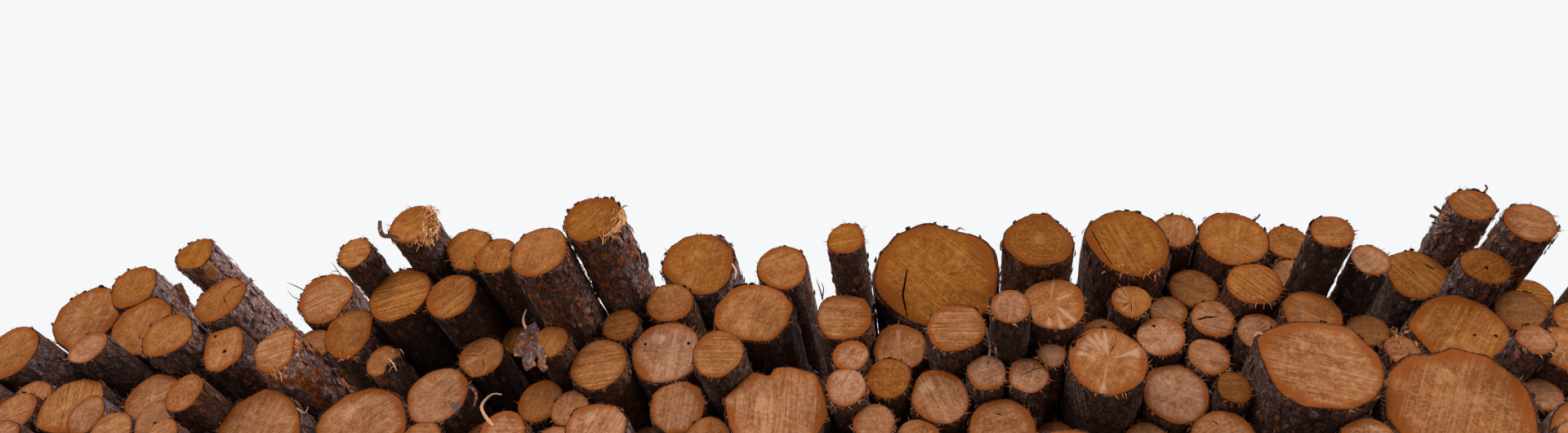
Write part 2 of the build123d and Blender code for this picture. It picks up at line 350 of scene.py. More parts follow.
def planeOf(corners):
    rows = np.array([(1, c.x, c.z) for c in corners])
    return np.linalg.lstsq(rows, np.array([c.y for c in corners]), rcond=None)[0]


def depth(plane, x, z):
    # how far back a plane lies at a place of the front view
    return plane[0] + plane[1] * x + plane[2] * z


def reachTo(corners, middle, turn):
    # how far a convex outline lies from its middle in one direction
    ex, ez = cos(turn), sin(turn)
    best = reading["far"]
    for a, b in zip(corners, corners[1:] + corners[:1]):
        nx, nz = b.z - a.z, a.x - b.x
        slope = nx * ex + nz * ez
        if slope > reading["slight"]:
            best = min(best, (nx * (a.x - middle.x) + nz * (a.z - middle.z)) / slope)
    return best


logs = [log for node in sorted(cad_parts) for log in logsOf(node)]
print("logs read:", len(logs))

# How each seen end looks, found by its middle in the picture (u, v): pinkness, lightness, saw marks and the
# direction of their lines in the picture, star rays, rings
endLooks = [
    (8, 431, 0.2, 0.95, 0.3, 30, 0.2, 0.3), (100, 405, 0.25, 0.95, 0.2, 60, 0.35, 0.2),
    (110, 425, 0.7, 1, 0.2, 30, 0, 0.3), (161, 351, 0.1, 0.97, 0.25, 35, 0.15, 0.2),
    (168, 400, 0.2, 0.98, 0.2, 70, 0.2, 0.2), (199, 411, 0.2, 0.97, 0.35, 40, 0, 0),
    (238, 313, 0, 0.9, 0.4, 60, 0, 0.1), (268, 368, 0.15, 1, 0.5, 40, 0, 0.1),
    (273, 426, 0.35, 1.05, 0.3, 80, 0.2, 0), (330, 431, 0.5, 1.05, 0.9, 18, 0, 0),
    (28, 490, 0.4, 1, 0.3, 60, 0, 0.2), (4, 507, 0.4, 1, 0.3, 20, 0, 0.2),
    (84, 498, 0.25, 1.05, 0.9, 80, 0, 0), (182, 488, 0.5, 1, 0.3, 30, 0.5, 0.2),
    (244, 480, 0.4, 1, 0.2, 20, 0, 0.7), (128, 530, 0.4, 1, 0.5, 25, 0, 0.1),
    (220, 533, 0.4, 1, 0.2, 30, 0.2, 0.2), (308, 525, 0.45, 0.92, 0.5, 60, 0.25, 0),
    (384, 389, 0.5, 1.02, 0.5, 25, 0, 0.1), (429, 410, 0.15, 0.95, 0.3, 60, 0, 0.1),
    (436, 311, 0.15, 1.03, 0.5, 10, 0.2, 0), (488, 361, 0.1, 0.98, 1, 15, 0, 0),
    (548, 364, 0.1, 0.98, 1, 35, 0.2, 0), (465, 442, 0.3, 1.02, 0.2, 0, 0, 0.2),
    (441, 522, 0.55, 1, 0.35, 30, 0.15, 0.1), (510, 276, 0.05, 0.97, 0.15, 30, 0.25, 0),
    (563, 308, 0.1, 1, 0.5, 45, 0, 0), (603, 315, 0.1, 0.97, 0.3, 70, 0.3, 0),
    (660, 311, 0.25, 0.95, 0.3, 70, 0, 0.1), (731, 270, 0, 0.85, 0.35, 40, 0.15, 0),
    (583, 436, 0.3, 1.05, 0.2, 45, 0.7, 0), (624, 415, 0, 0.75, 0.6, 70, 0, 0),
    (685, 417, 0.15, 0.93, 0.4, 60, 0, 0.1), (731, 445, 0.3, 1.02, 0.8, 10, 0, 0.1),
    (757, 398, 0.15, 0.95, 0.5, 10, 0.1, 0), (538, 484, 0.7, 1.03, 0.3, 40, 0.2, 0),
    (666, 488, 0.2, 0.9, 0.2, 60, 0.2, 0), (678, 501, 0.55, 1, 0.2, 0, 0.4, 0),
    (742, 526, 0.6, 1, 0.4, 60, 0, 0.1), (615, 532, 0.6, 1.05, 0.2, 0, 0.2, 0),
    (525, 540, 0.4, 1, 0.2, 0, 0, 0.2), (572, 540, 0.5, 1, 0.3, 60, 0, 0),
    (677, 540, 0.6, 1, 0.2, 10, 0, 0.2), (853, 322, 0.05, 0.85, 0.2, 70, 0.35, 0),
    (956, 327, 0.25, 1, 0.3, 20, 0.1, 0), (814, 370, 0.3, 1.1, 0.25, 20, 0.2, 0),
    (814, 430, 0.85, 1.1, 0.35, 80, 0.1, 0), (921, 382, 0.3, 0.97, 0.2, 60, 0.1, 0.2),
    (893, 433, 0.3, 0.97, 0.8, 0, 0, 0.3), (818, 500, 0.6, 1.08, 0.4, 80, 0.3, 0),
    (846, 536, 0.3, 1, 0.2, 20, 0, 0.2), (950, 500, 0.55, 1.05, 0.8, 85, 0.1, 0),
    (1040, 294, 0, 0.95, 0.6, 10, 0, 0), (1032, 389, 0.35, 1.02, 0.9, 0, 0.1, 0),
    (1144, 338, 0, 0.85, 0.35, -40, 0, 0.1), (1048, 435, 0.6, 1.05, 0.2, 50, 0.3, 0),
    (1105, 423, 0.4, 0.98, 0.2, 80, 0.6, 0), (1173, 402, 0.35, 1, 1, 0, 0, 0),
    (1034, 474, 0.9, 1.02, 0.2, 60, 0.3, 0), (1092, 463, 0.1, 0.92, 0.1, 0, 0, 1),
    (1137, 486, 0.6, 1.1, 0.6, -60, 0, 0), (1193, 458, 0.9, 1, 0.2, 20, 0.3, 0),
    (1262, 459, 0.9, 1, 0.2, 70, 0.2, 0.3), (1062, 518, 0.6, 0.95, 0.1, 0, 0.1, 0.3),
    (1145, 537, 0.4, 1, 0.3, 20, 0, 0), (1222, 524, 0.5, 1, 0.2, 20, 0.2, 0.1),
    (1267, 294, 0, 0.72, 0.1, 0, 0, 1), (1378, 298, 0, 0.82, 0.5, -60, 0.1, 0),
    (1234, 378, 0.8, 0.95, 0.3, 80, 0.1, 0), (1298, 373, 0.25, 1, 0.2, 30, 1, 0),
    (1286, 435, 0.8, 1, 0.1, 0, 0.3, 0), (1353, 443, 0.3, 1, 0.2, 60, 1, 0),
    (1343, 412, 0.3, 0.92, 0.3, 20, 0, 0.1), (1381, 368, 0.15, 1, 0.3, 90, 0.6, 0),
    (1431, 381, 0.6, 0.9, 0.4, -30, 0, 0), (1438, 282, 0.35, 0.9, 0.3, 80, 0.2, 0),
    (1508, 292, 0.1, 0.92, 0.2, 80, 0.3, 0), (1419, 411, 0.8, 1.05, 0.1, 0, 0, 0),
    (1464, 351, 0.25, 0.88, 0.4, -20, 0, 0.3), (1532, 348, 0.1, 0.95, 0.8, -35, 0, 0),
    (1491, 388, 0.6, 1.05, 0.4, -15, 0.2, 0), (1472, 436, 0.65, 1.03, 0.2, -10, 0.3, 0),
    (1438, 480, 0.8, 1.02, 0.2, -20, 0.1, 0), (1579, 295, 0.1, 0.85, 0.6, -20, 0, 0),
    (1628, 286, 0.2, 0.88, 0.2, 0, 0.1, 0), (1584, 333, 0.4, 0.88, 0.2, 0, 0.2, 0),
    (1679, 319, 0.65, 0.93, 0.3, 30, 0.1, 0), (1607, 384, 0.25, 0.95, 0.3, -20, 0.1, 0),
    (1546, 405, 0.7, 0.95, 0.3, 40, 0.2, 0), (1514, 473, 0.1, 0.65, 0.2, 0, 0.1, 0.2),
    (1616, 446, 0.4, 1, 0.55, -12, 0.1, 0), (1495, 536, 0.5, 1, 0.3, 30, 0, 0),
    (1408, 536, 0.5, 1, 0.3, 10, 0, 0.2), (1292, 538, 0.6, 1, 0.3, 60, 0, 0),
    (1650, 541, 0.7, 1, 0.3, 0, 0, 0), (1680, 402, 0.2, 0.75, 0.1, 0, 0, 0),
    (1745, 352, 0.05, 0.9, 0.9, -40, 0, 0), (1802, 249, 0.2, 0.85, 0.4, -30, 0.1, 0.3),
    (1871, 274, 0.35, 0.85, 0.4, -10, 0.2, 0), (1815, 325, 0.05, 0.75, 0.3, 30, 0, 1),
    (1786, 400, 0.1, 0.92, 0.6, 60, 0.1, 0), (1792, 497, 0.35, 1, 0.5, 75, 0, 0.2),
    (1867, 378, 0.3, 0.93, 0.2, 0, 0, 0.4), (1872, 418, 0.6, 0.95, 0.3, 0, 0.3, 0),
    (1913, 428, 0.3, 0.95, 0.5, 60, 0.4, 0), (1912, 482, 0.8, 1.1, 0.2, 0, 0, 0),
    (1712, 428, 0.5, 0.9, 0.4, 0, 0.2, 0), (1912, 537, 0.5, 1, 0.3, 0, 0, 0.2),
    (1925, 392, 0.2, 0.9, 0.5, -20, 0, 0)]

# Rims of the ends that aren't round, as the picture shows them, by the same middles
endShapes = {
    (1792, 497): [(1697, 440), (1713, 433), (1733, 433), (1753, 435), (1770, 430), (1787, 422), (1803, 421),
        (1820, 424), (1840, 433), (1857, 445), (1868, 458), (1877, 477), (1885, 500), (1890, 530),
        (1880, 560), (1850, 580), (1800, 590), (1750, 585), (1715, 565), (1703, 530), (1700, 500),
        (1700, 483), (1694, 455)],
    (1616, 446): [(1536, 413), (1545, 407), (1563, 397), (1587, 393), (1613, 394), (1640, 397), (1657, 403),
        (1673, 417), (1687, 433), (1695, 450), (1696, 467), (1690, 480), (1680, 490), (1667, 500),
        (1647, 502), (1620, 500), (1593, 498), (1577, 490), (1563, 477), (1553, 460), (1545, 440),
        (1538, 427)],
    (1786, 400): [(1720, 400), (1730, 383), (1742, 370), (1757, 362), (1780, 359), (1800, 363), (1817, 373),
        (1833, 385), (1845, 397), (1849, 410), (1846, 425), (1835, 438), (1810, 445), (1785, 445),
        (1755, 440), (1733, 430), (1722, 418)],
    (1745, 352): [(1708, 340), (1710, 327), (1720, 321), (1740, 319), (1760, 325), (1777, 337), (1787, 348),
        (1787, 360), (1775, 372), (1755, 380), (1733, 377), (1720, 367), (1712, 353)],
    (1353, 443): [(1303, 430), (1310, 417), (1330, 402), (1350, 400), (1370, 407), (1390, 420), (1402, 433),
        (1403, 450), (1397, 467), (1383, 478), (1360, 486), (1337, 482), (1317, 470), (1306, 453)],
    (1144, 338): [(1068, 347), (1072, 327), (1075, 310), (1083, 298), (1093, 290), (1107, 285), (1120, 278),
        (1137, 275), (1153, 279), (1170, 285), (1187, 288), (1203, 295), (1215, 307), (1220, 327),
        (1222, 347), (1220, 363), (1213, 380), (1193, 393), (1165, 402), (1135, 402), (1113, 396),
        (1100, 388), (1087, 377), (1073, 363)],
    (1267, 294): [(1223, 297), (1227, 283), (1243, 270), (1263, 262), (1280, 263), (1292, 275), (1307, 288),
        (1311, 302), (1308, 313), (1300, 322), (1280, 326), (1260, 327), (1243, 325), (1230, 315),
        (1225, 305)],
    (1378, 298): [(1328, 287), (1337, 273), (1353, 262), (1373, 257), (1393, 259), (1410, 267), (1427, 283),
        (1434, 303), (1432, 320), (1420, 333), (1403, 340), (1383, 338), (1363, 330), (1347, 317),
        (1335, 302)],
    (1032, 389): [(997, 390), (1003, 370), (1017, 363), (1037, 362), (1057, 367), (1065, 383), (1064, 400),
        (1053, 412), (1033, 417), (1013, 417), (1002, 407)],
    (1173, 402): [(1135, 403), (1142, 385), (1157, 375), (1177, 373), (1197, 378), (1208, 393), (1209, 410),
        (1200, 422), (1180, 430), (1157, 432), (1142, 422)],
    (950, 500): [(880, 506), (882, 490), (888, 474), (900, 460), (916, 453), (934, 456), (941, 462),
        (946, 450), (960, 441), (977, 440), (990, 447), (1000, 460), (1007, 477), (1012, 493), (1015, 513),
        (1013, 535), (1000, 552), (950, 562), (905, 552), (886, 530)],
    (921, 382): [(867, 390), (868, 378), (876, 364), (892, 352), (912, 347), (936, 348), (956, 356),
        (968, 370), (972, 386), (966, 402), (952, 414), (936, 418), (905, 416), (880, 405)],
    (853, 322): [(807, 330), (810, 310), (820, 296), (836, 287), (856, 285), (880, 288), (894, 302),
        (895, 322), (890, 342), (874, 358), (852, 361), (832, 354), (818, 344)],
    (731, 270): [(695, 274), (704, 254), (720, 244), (740, 242), (758, 244), (768, 258), (766, 270),
        (756, 282), (736, 292), (716, 298), (702, 292)],
    (660, 311): [(625, 318), (630, 302), (644, 288), (664, 281), (684, 282), (694, 294), (694, 314),
        (686, 326), (672, 336), (652, 342), (636, 340), (626, 330)],
    (563, 308): [(536, 306), (544, 290), (560, 282), (576, 281), (590, 286), (592, 294), (584, 306),
        (578, 326), (564, 334), (546, 330), (540, 318)],
    (441, 522): [(383, 513), (387, 500), (403, 490), (423, 478), (447, 473), (467, 474), (487, 483),
        (495, 497), (498, 515), (494, 535), (480, 552), (445, 565), (410, 560), (388, 540)],
    (308, 525): [(253, 523), (263, 503), (283, 483), (307, 475), (330, 477), (347, 490), (355, 507),
        (357, 530), (350, 555), (320, 572), (280, 570), (258, 550)],
    (100, 405): [(56, 417), (60, 397), (73, 380), (90, 367), (110, 359), (128, 360), (140, 375), (146, 395),
        (143, 420), (128, 437), (105, 448), (80, 450), (62, 437)],
    (168, 400): [(129, 417), (133, 397), (147, 380), (167, 367), (187, 363), (203, 367), (208, 380),
        (205, 400), (195, 420), (175, 437), (153, 439), (137, 433)],
    (84, 498): [(38, 507), (45, 490), (60, 477), (83, 467), (103, 463), (123, 467), (130, 477), (117, 493),
        (110, 513), (97, 530), (60, 530), (42, 523)],
    (330, 431): [(300, 430), (310, 417), (327, 403), (343, 401), (353, 407), (350, 427), (347, 443),
        (333, 457), (317, 460), (305, 453)],
    (465, 442): [(442, 447), (450, 430), (467, 423), (478, 427), (482, 437), (473, 443), (467, 448),
        (465, 458), (453, 462), (443, 457)],
    (384, 389): [(353, 397), (363, 370), (380, 358), (397, 355), (417, 358), (425, 370), (420, 385),
        (408, 400), (398, 415), (383, 421), (363, 416)],
    (429, 410): [(398, 417), (405, 397), (420, 382), (437, 377), (453, 380), (458, 393), (455, 413),
        (443, 430), (427, 442), (410, 438), (400, 427)],
    (268, 368): [(235, 383), (243, 363), (260, 348), (280, 338), (297, 342), (302, 353), (293, 370),
        (280, 383), (263, 393), (247, 395)],
    (238, 313): [(214, 320), (220, 303), (237, 293), (253, 290), (260, 297), (258, 313), (247, 327),
        (233, 330), (220, 330)],
    (161, 351): [(133, 360), (137, 343), (150, 330), (170, 325), (187, 330), (188, 347), (180, 363),
        (163, 373), (143, 378), (134, 373)],
    (199, 411): [(167, 417), (177, 400), (193, 388), (213, 384), (228, 390), (230, 407), (223, 420),
        (207, 430), (187, 437), (170, 437)],
    (273, 426): [(249, 437), (252, 417), (260, 400), (277, 397), (293, 398), (298, 410), (297, 430),
        (290, 443), (270, 455), (253, 453)],
    (742, 526): [(696, 518), (720, 498), (744, 493), (768, 496), (780, 510), (782, 535), (770, 552),
        (740, 560), (708, 550), (696, 535)],
    (818, 500): [(782, 494), (790, 478), (808, 468), (828, 467), (846, 476), (852, 494), (848, 512),
        (830, 530), (805, 533), (787, 518)]}

# Cracks in the ends, by the same middles: points along the crack and its width in metres; each is sunk and
# painted dark along its middle, as painted shade
endCracks = {
    (1378, 298): [([(1337, 280), (1350, 304), (1366, 328)], 0.006)],
    (1144, 338): [([(1110, 328), (1104, 362), (1110, 394)], 0.010)],
    (268, 368): [([(298, 347), (284, 352), (273, 364), (277, 374)], 0.007)],
    (1262, 459): [([(1252, 460), (1268, 452), (1287, 447)], 0.004)],
    (1491, 388): [([(1466, 391), (1482, 386), (1500, 385)], 0.008)],
    (1353, 443): [([(1304, 426), (1314, 416), (1328, 409)], 0.006), ([(1356, 432), (1362, 420)], 0.005)],
    (583, 436): [([(583, 436), (566, 434)], 0.004), ([(583, 436), (594, 424)], 0.004), ([(583, 436),
        (588, 452)], 0.004)],
    (1495, 536): [([(1480, 512), (1492, 521)], 0.006)], (182, 488): [([(174, 494), (184, 487)], 0.005)],
    (1298, 373): [([(1290, 385), (1296, 392)], 0.005)], (465, 442): [([(473, 443), (466, 449)], 0.006)],
    (168, 400): [([(166, 405), (165, 418)], 0.008)],
    (1745, 352): [([(1752, 334), (1772, 345)], 0.010), ([(1735, 340), (1748, 352)], 0.006)],
    (1173, 402): [([(1140, 402), (1170, 400)], 0.003)], (1222, 524): [([(1213, 504), (1222, 508)], 0.006)],
    (1381, 368): [([(1381, 368), (1368, 376)], 0.004), ([(1381, 368), (1382, 384)], 0.004)]}

# Small round marks by the same middles: place, radius in metres, and how dark, pale and grey they are
endMarks = {
    (273, 426): [((275, 429), 0.01, 1, 0, 0), ((264, 411), 0.008, 1, 0, 0)],
    (814, 430): [((788, 420), 0.007, 1, 0, 0), ((841, 419), 0.007, 1, 0, 0), ((806, 414), 0.04, 0, 0.6, 0)],
    (1786, 400): [((1805, 409), 0.006, 0.8, 0, 0), ((1831, 410), 0.007, 0.8, 0, 0),
        ((1775, 418), 0.02, 0, 0.6, 0)],
    (1616, 446): [((1636, 455), 0.04, 0, 0.5, 0), ((1588, 424), 0.05, 0, 0.7, 0)],
    (1792, 497): [((1815, 495), 0.04, 0, 0.5, 0), ((1775, 460), 0.05, 0, 0.4, 0)],
    (538, 484): [((560, 496), 0.03, 0, 0, 1)], (1267, 294): [((1268, 294), 0.028, 0, 0.5, 0)],
    (1607, 384): [((1590, 384), 0.02, 0, 0, 0.8)], (182, 488): [((184, 487), 0.014, 0, 0.8, 0)],
    (1815, 325): [((1816, 327), 0.007, 1, 0, 0)], (1419, 411): [((1410, 398), 0.006, 1, 0, 0)],
    (1137, 486): [((1121, 476), 0.04, 0, 0.6, 0)], (950, 500): [((930, 494), 0.06, 0, 0.5, 0)],
    (441, 522): [((424, 502), 0.05, 0, 0.5, 0)], (308, 525): [((300, 506), 0.05, 0, 0.4, 0)],
    (84, 498): [((72, 500), 0.03, 0, 0.6, 0)], (1353, 443): [((1334, 436), 0.035, 0, 0.5, 0)],
    (921, 382): [((910, 394), 0.05, 0, 0.5, 0)], (853, 322): [((850, 312), 0.04, 0, 0.4, 0)],
    (1144, 338): [((1172, 320), 0.06, 0, 0.4, 0)], (330, 431): [((328, 436), 0.02, 0, 0.5, 0)],
    (742, 526): [((734, 510), 0.035, 0, 0.5, 0)], (1438, 480): [((1428, 468), 0.035, 0, 0.5, 0)]}

# Bark by the same middles: greyness, redness, darkness, how scaly. A darkness below 0 is painted light on a
# flank that lies in shade here, most at (330, 431)
barkLooks = {
    (238, 313): (1.2, 0.4, -0.05, 1.3), (268, 368): (1.1, 0.4, -0.1, 1.3), (330, 431): (1.0, 1.6, -0.7, 1.5),
    (660, 311): (0.7, 0.6, 0.1, 1.2), (731, 270): (0.9, 0.8, 0.0, 1.4), (853, 322): (0.9, 0.2, 0.1, 1.0),
    (161, 351): (0.9, 0.3, 0.1, 0.9), (199, 411): (0.9, 0.2, 0.2, 0.9), (465, 442): (0.7, 0.9, -0.1, 1.0),
    (8, 431): (0.6, 0.3, 0.35, 0.8), (110, 425): (0.4, 0.3, 0.45, 0.7), (273, 426): (0.5, 0.3, 0.35, 0.8),
    (436, 311): (0.4, 0.4, 0.4, 0.8), (488, 361): (0.3, 0.2, 0.6, 0.5), (548, 364): (0.3, 0.2, 0.6, 0.5),
    (510, 276): (0.5, 0.4, 0.4, 0.9), (563, 308): (0.3, 0.2, 0.5, 0.6), (603, 315): (0.3, 0.3, 0.5, 0.6),
    (583, 436): (0.3, 0.1, 0.6, 0.5), (538, 484): (0.5, 0.3, 0.4, 0.7), (429, 410): (0.6, 0.2, 0.3, 0.8),
    (1802, 249): (1.0, 0.3, 0.2, 1.2), (1871, 274): (0.5, 0.6, 0.3, 1.0), (1815, 325): (0.8, 0.2, 0.3, 1.2),
    (1040, 294): (0.5, 0.3, 0.5, 0.6), (1234, 378): (0.4, 0.1, 0.6, 0.4), (1628, 286): (0.4, 0.1, 0.7, 0.5),
    (1679, 319): (0.4, 0.1, 0.7, 0.5), (1745, 352): (0.5, 0.2, 0.5, 0.8), (1616, 446): (0.5, 0.5, 0.25, 1.2),
    (1353, 443): (0.5, 0.2, 0.35, 0.8), (1419, 411): (0.3, 0.1, 0.6, 0.4),
    (1872, 418): (0.5, 0.3, 0.45, 0.8), (308, 525): (0.9, 0.3, 0.05, 1.3), (950, 500): (0.9, 0.1, 0.2, 1.2)}

# How the logs are shaped. Lengths in metres; outlines, limits and spreads as shares of the outline; turns say
# how fine a noise runs round the log
logShape = {
    "steps": 216, "outline": 0.985, "roundness": 20, "traced": 3.5, "wood": 0.945, "woodLimit": 0.965,
    "waviness": 0.014, "waveTurns": 2.2, "tracedWaves": 0.2, "nicks": 0.009, "nickTurns": 11, "nickSeed": 40,
    "bark": 1.045, "barkLimit": 0.995, "barkSpread": 0.02, "barkTurns": 7,
    "barkStep": (0.002, 0.012), "stepNoise": 0.6, "innerNoise": 4, "backNoise": 3.0, "innerStep": 1.4,
    "outerStep": 1.6, "woodGap": 0.003, "barkGap": 0.008,
    "relief": 0.006, "reliefScale": (24, 8, 24), "second": 0.5, "secondScale": 2.3, "leastScaly": 0.4,
    "reliefLimit": 0.08, "thinnest": 0.04,
    "ringFew": 0.75, "ringLeast": 7, "ringOuter": 0.9, "ringSpread": 0.03, "uneven": 0.0012, "unevenScale": 18,
    "rimShare": 0.985, "rimDrop": 0.0015, "faceDepth": 0.001, "featureReach": 0.955, "crackDepth": 0.012,
    "greyDepth": 0.004, "sharp": 38, "weld": 1e-6}
fineLog = {"around": 72, "rings": (0.965, 0.87, 0.72, 0.53, 0.32),
           "along": (0.012, 0.03, 0.055, 0.085, 0.12, 0.16, 0.2, 0.25, 0.3, 0.36, 0.43, 0.5, 0.58, 0.67, 0.77,
                     0.9, 1.05, 1.25, 1.5, 1.8, 2.2)}
plainLog = {"around": 36, "along": (0.015, 0.06, 0.14, 0.3, 0.6, 1.1, 1.9), "rings": (0.95, 0.75, 0.45)}
wood, bark = 0, 1   # the two materials of every mesh


def frontAt(log, u, v):
    # where the line of sight meets the sawn face of a log
    line, plane = sightLine(u, v), log.frontPlane
    lift = plane[0] + plane[1] * eye.x + plane[2] * eye.z - eye.y
    return eye + line * (lift / (line.y - plane[1] * line.x - plane[2] * line.z))


def shapeReach(shape, middle, turn):
    # how far a traced rim, which may have hollows, lies from the middle in one direction
    ex, ez = cos(turn), sin(turn)
    best = 0.0
    for a, b in zip(shape, shape[1:] + shape[:1]):
        ax, az, bx, bz = a.x - middle.x, a.z - middle.z, b.x - middle.x, b.z - middle.z
        crossing = (bx - ax) * ez - (bz - az) * ex
        if abs(crossing) > reading["inLine"]:
            along = (ax * ez - az * ex) / -crossing
            reach = (ax + along * (bx - ax)) * ex + (az + along * (bz - az)) * ez
            if 0 <= along <= 1 and reach > best:
                best = reach
    return best


def smoothed(values, width):
    # values round a closed rim, each blended with its neighbours
    n = len(values)
    weights = [exp(-(k / width) ** 2) for k in range(-int(2 * width), int(2 * width) + 1)]
    half = len(weights) // 2
    return [sum(w * values[(i + k - half) % n] for k, w in enumerate(weights)) / sum(weights)
            for i in range(n)]


def noiseRound(turn, fineness, seed):
    return noise.noise(Vector((fineness * cos(turn), fineness * sin(turn), seed)))


def outlineOf(log, around):
    # bark radii and wood shares all round the front of a log
    look = logShape
    steps = look["steps"]
    turns = [2 * pi * i / steps for i in range(steps)]
    reach = [reachTo(log.front, log.frontMiddle, turn) for turn in turns]
    if log.shape:
        woodReach = smoothed([shapeReach(log.shape, log.frontMiddle, turn) for turn in turns], look["traced"])
    else:
        evened = smoothed(reach, look["roundness"] * steps / 360)
        woodReach = [r * look["wood"] * look["outline"] for r in evened]
    barkReach, share = [], []
    for i in range(0, steps, steps // around):
        wave = noiseRound(turns[i], look["waveTurns"], log.seed) * (look["tracedWaves"] if log.shape else 1.0)
        nick = noiseRound(turns[i], look["nickTurns"], log.seed + look["nickSeed"])
        rim = min(reach[i] * look["woodLimit"],
                  woodReach[i] * (1 + look["waviness"] * wave + look["nicks"] * nick))
        thick = look["bark"] + look["barkSpread"] * noiseRound(turns[i], look["barkTurns"], log.seed)
        barkReach.append(min(reach[i] * look["barkLimit"], rim * thick))
        share.append(rim / barkReach[-1])
    return barkReach, share


class Mesh:
    # points, faces and what is kept on the points of one object
    def __init__(self):
        self.points, self.faces, self.finishes, self.seeds = [], [], [], []
        self.kept = {name: [] for name in ("place", "marks", "tone", "spots")}

    def add(self, point, seed=0.0, **kept):
        self.points.append(tuple(point))
        self.seeds.append(seed)
        for name, values in self.kept.items():
            values.append(kept.get(name, (0.0, 0.0, 0.0)))
        return len(self.points) - 1

    def face(self, corners, finish):
        self.faces.append(corners)
        self.finishes.append(finish)

    def band(self, first, second, finish):
        n = len(first)
        for i in range(n):
            j = (i + 1) % n
            self.face((first[i], second[i], second[j], first[j]), finish)

    def fan(self, rim, top, finish):
        for a, b in zip(rim, rim[1:] + rim[:1]):
            self.face((a, b, top), finish)

    def make(self, name):
        data = bpy.data.meshes.new(name)
        data.from_pydata(self.points, [], self.faces)
        for material in (woodMaterial, barkMaterial):
            data.materials.append(material)
        data.polygons.foreach_set("material_index", self.finishes)
        data.polygons.foreach_set("use_smooth", [True] * len(self.faces))
        for key, values in self.kept.items():
            data.attributes.new(key, "FLOAT_VECTOR", "POINT").data.foreach_set(
                "vector", np.array(values, np.float32).ravel())
        seeds = data.attributes.new("seed", "FLOAT", "POINT").data
        seeds.foreach_set("value", np.array(self.seeds, np.float32))
        data.validate()
        data.set_sharp_from_angle(angle=radians(logShape["sharp"]))
        made = bpy.data.objects.new(name, data)
        bpy.context.scene.collection.objects.link(made)
        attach(made, "root")
        return made


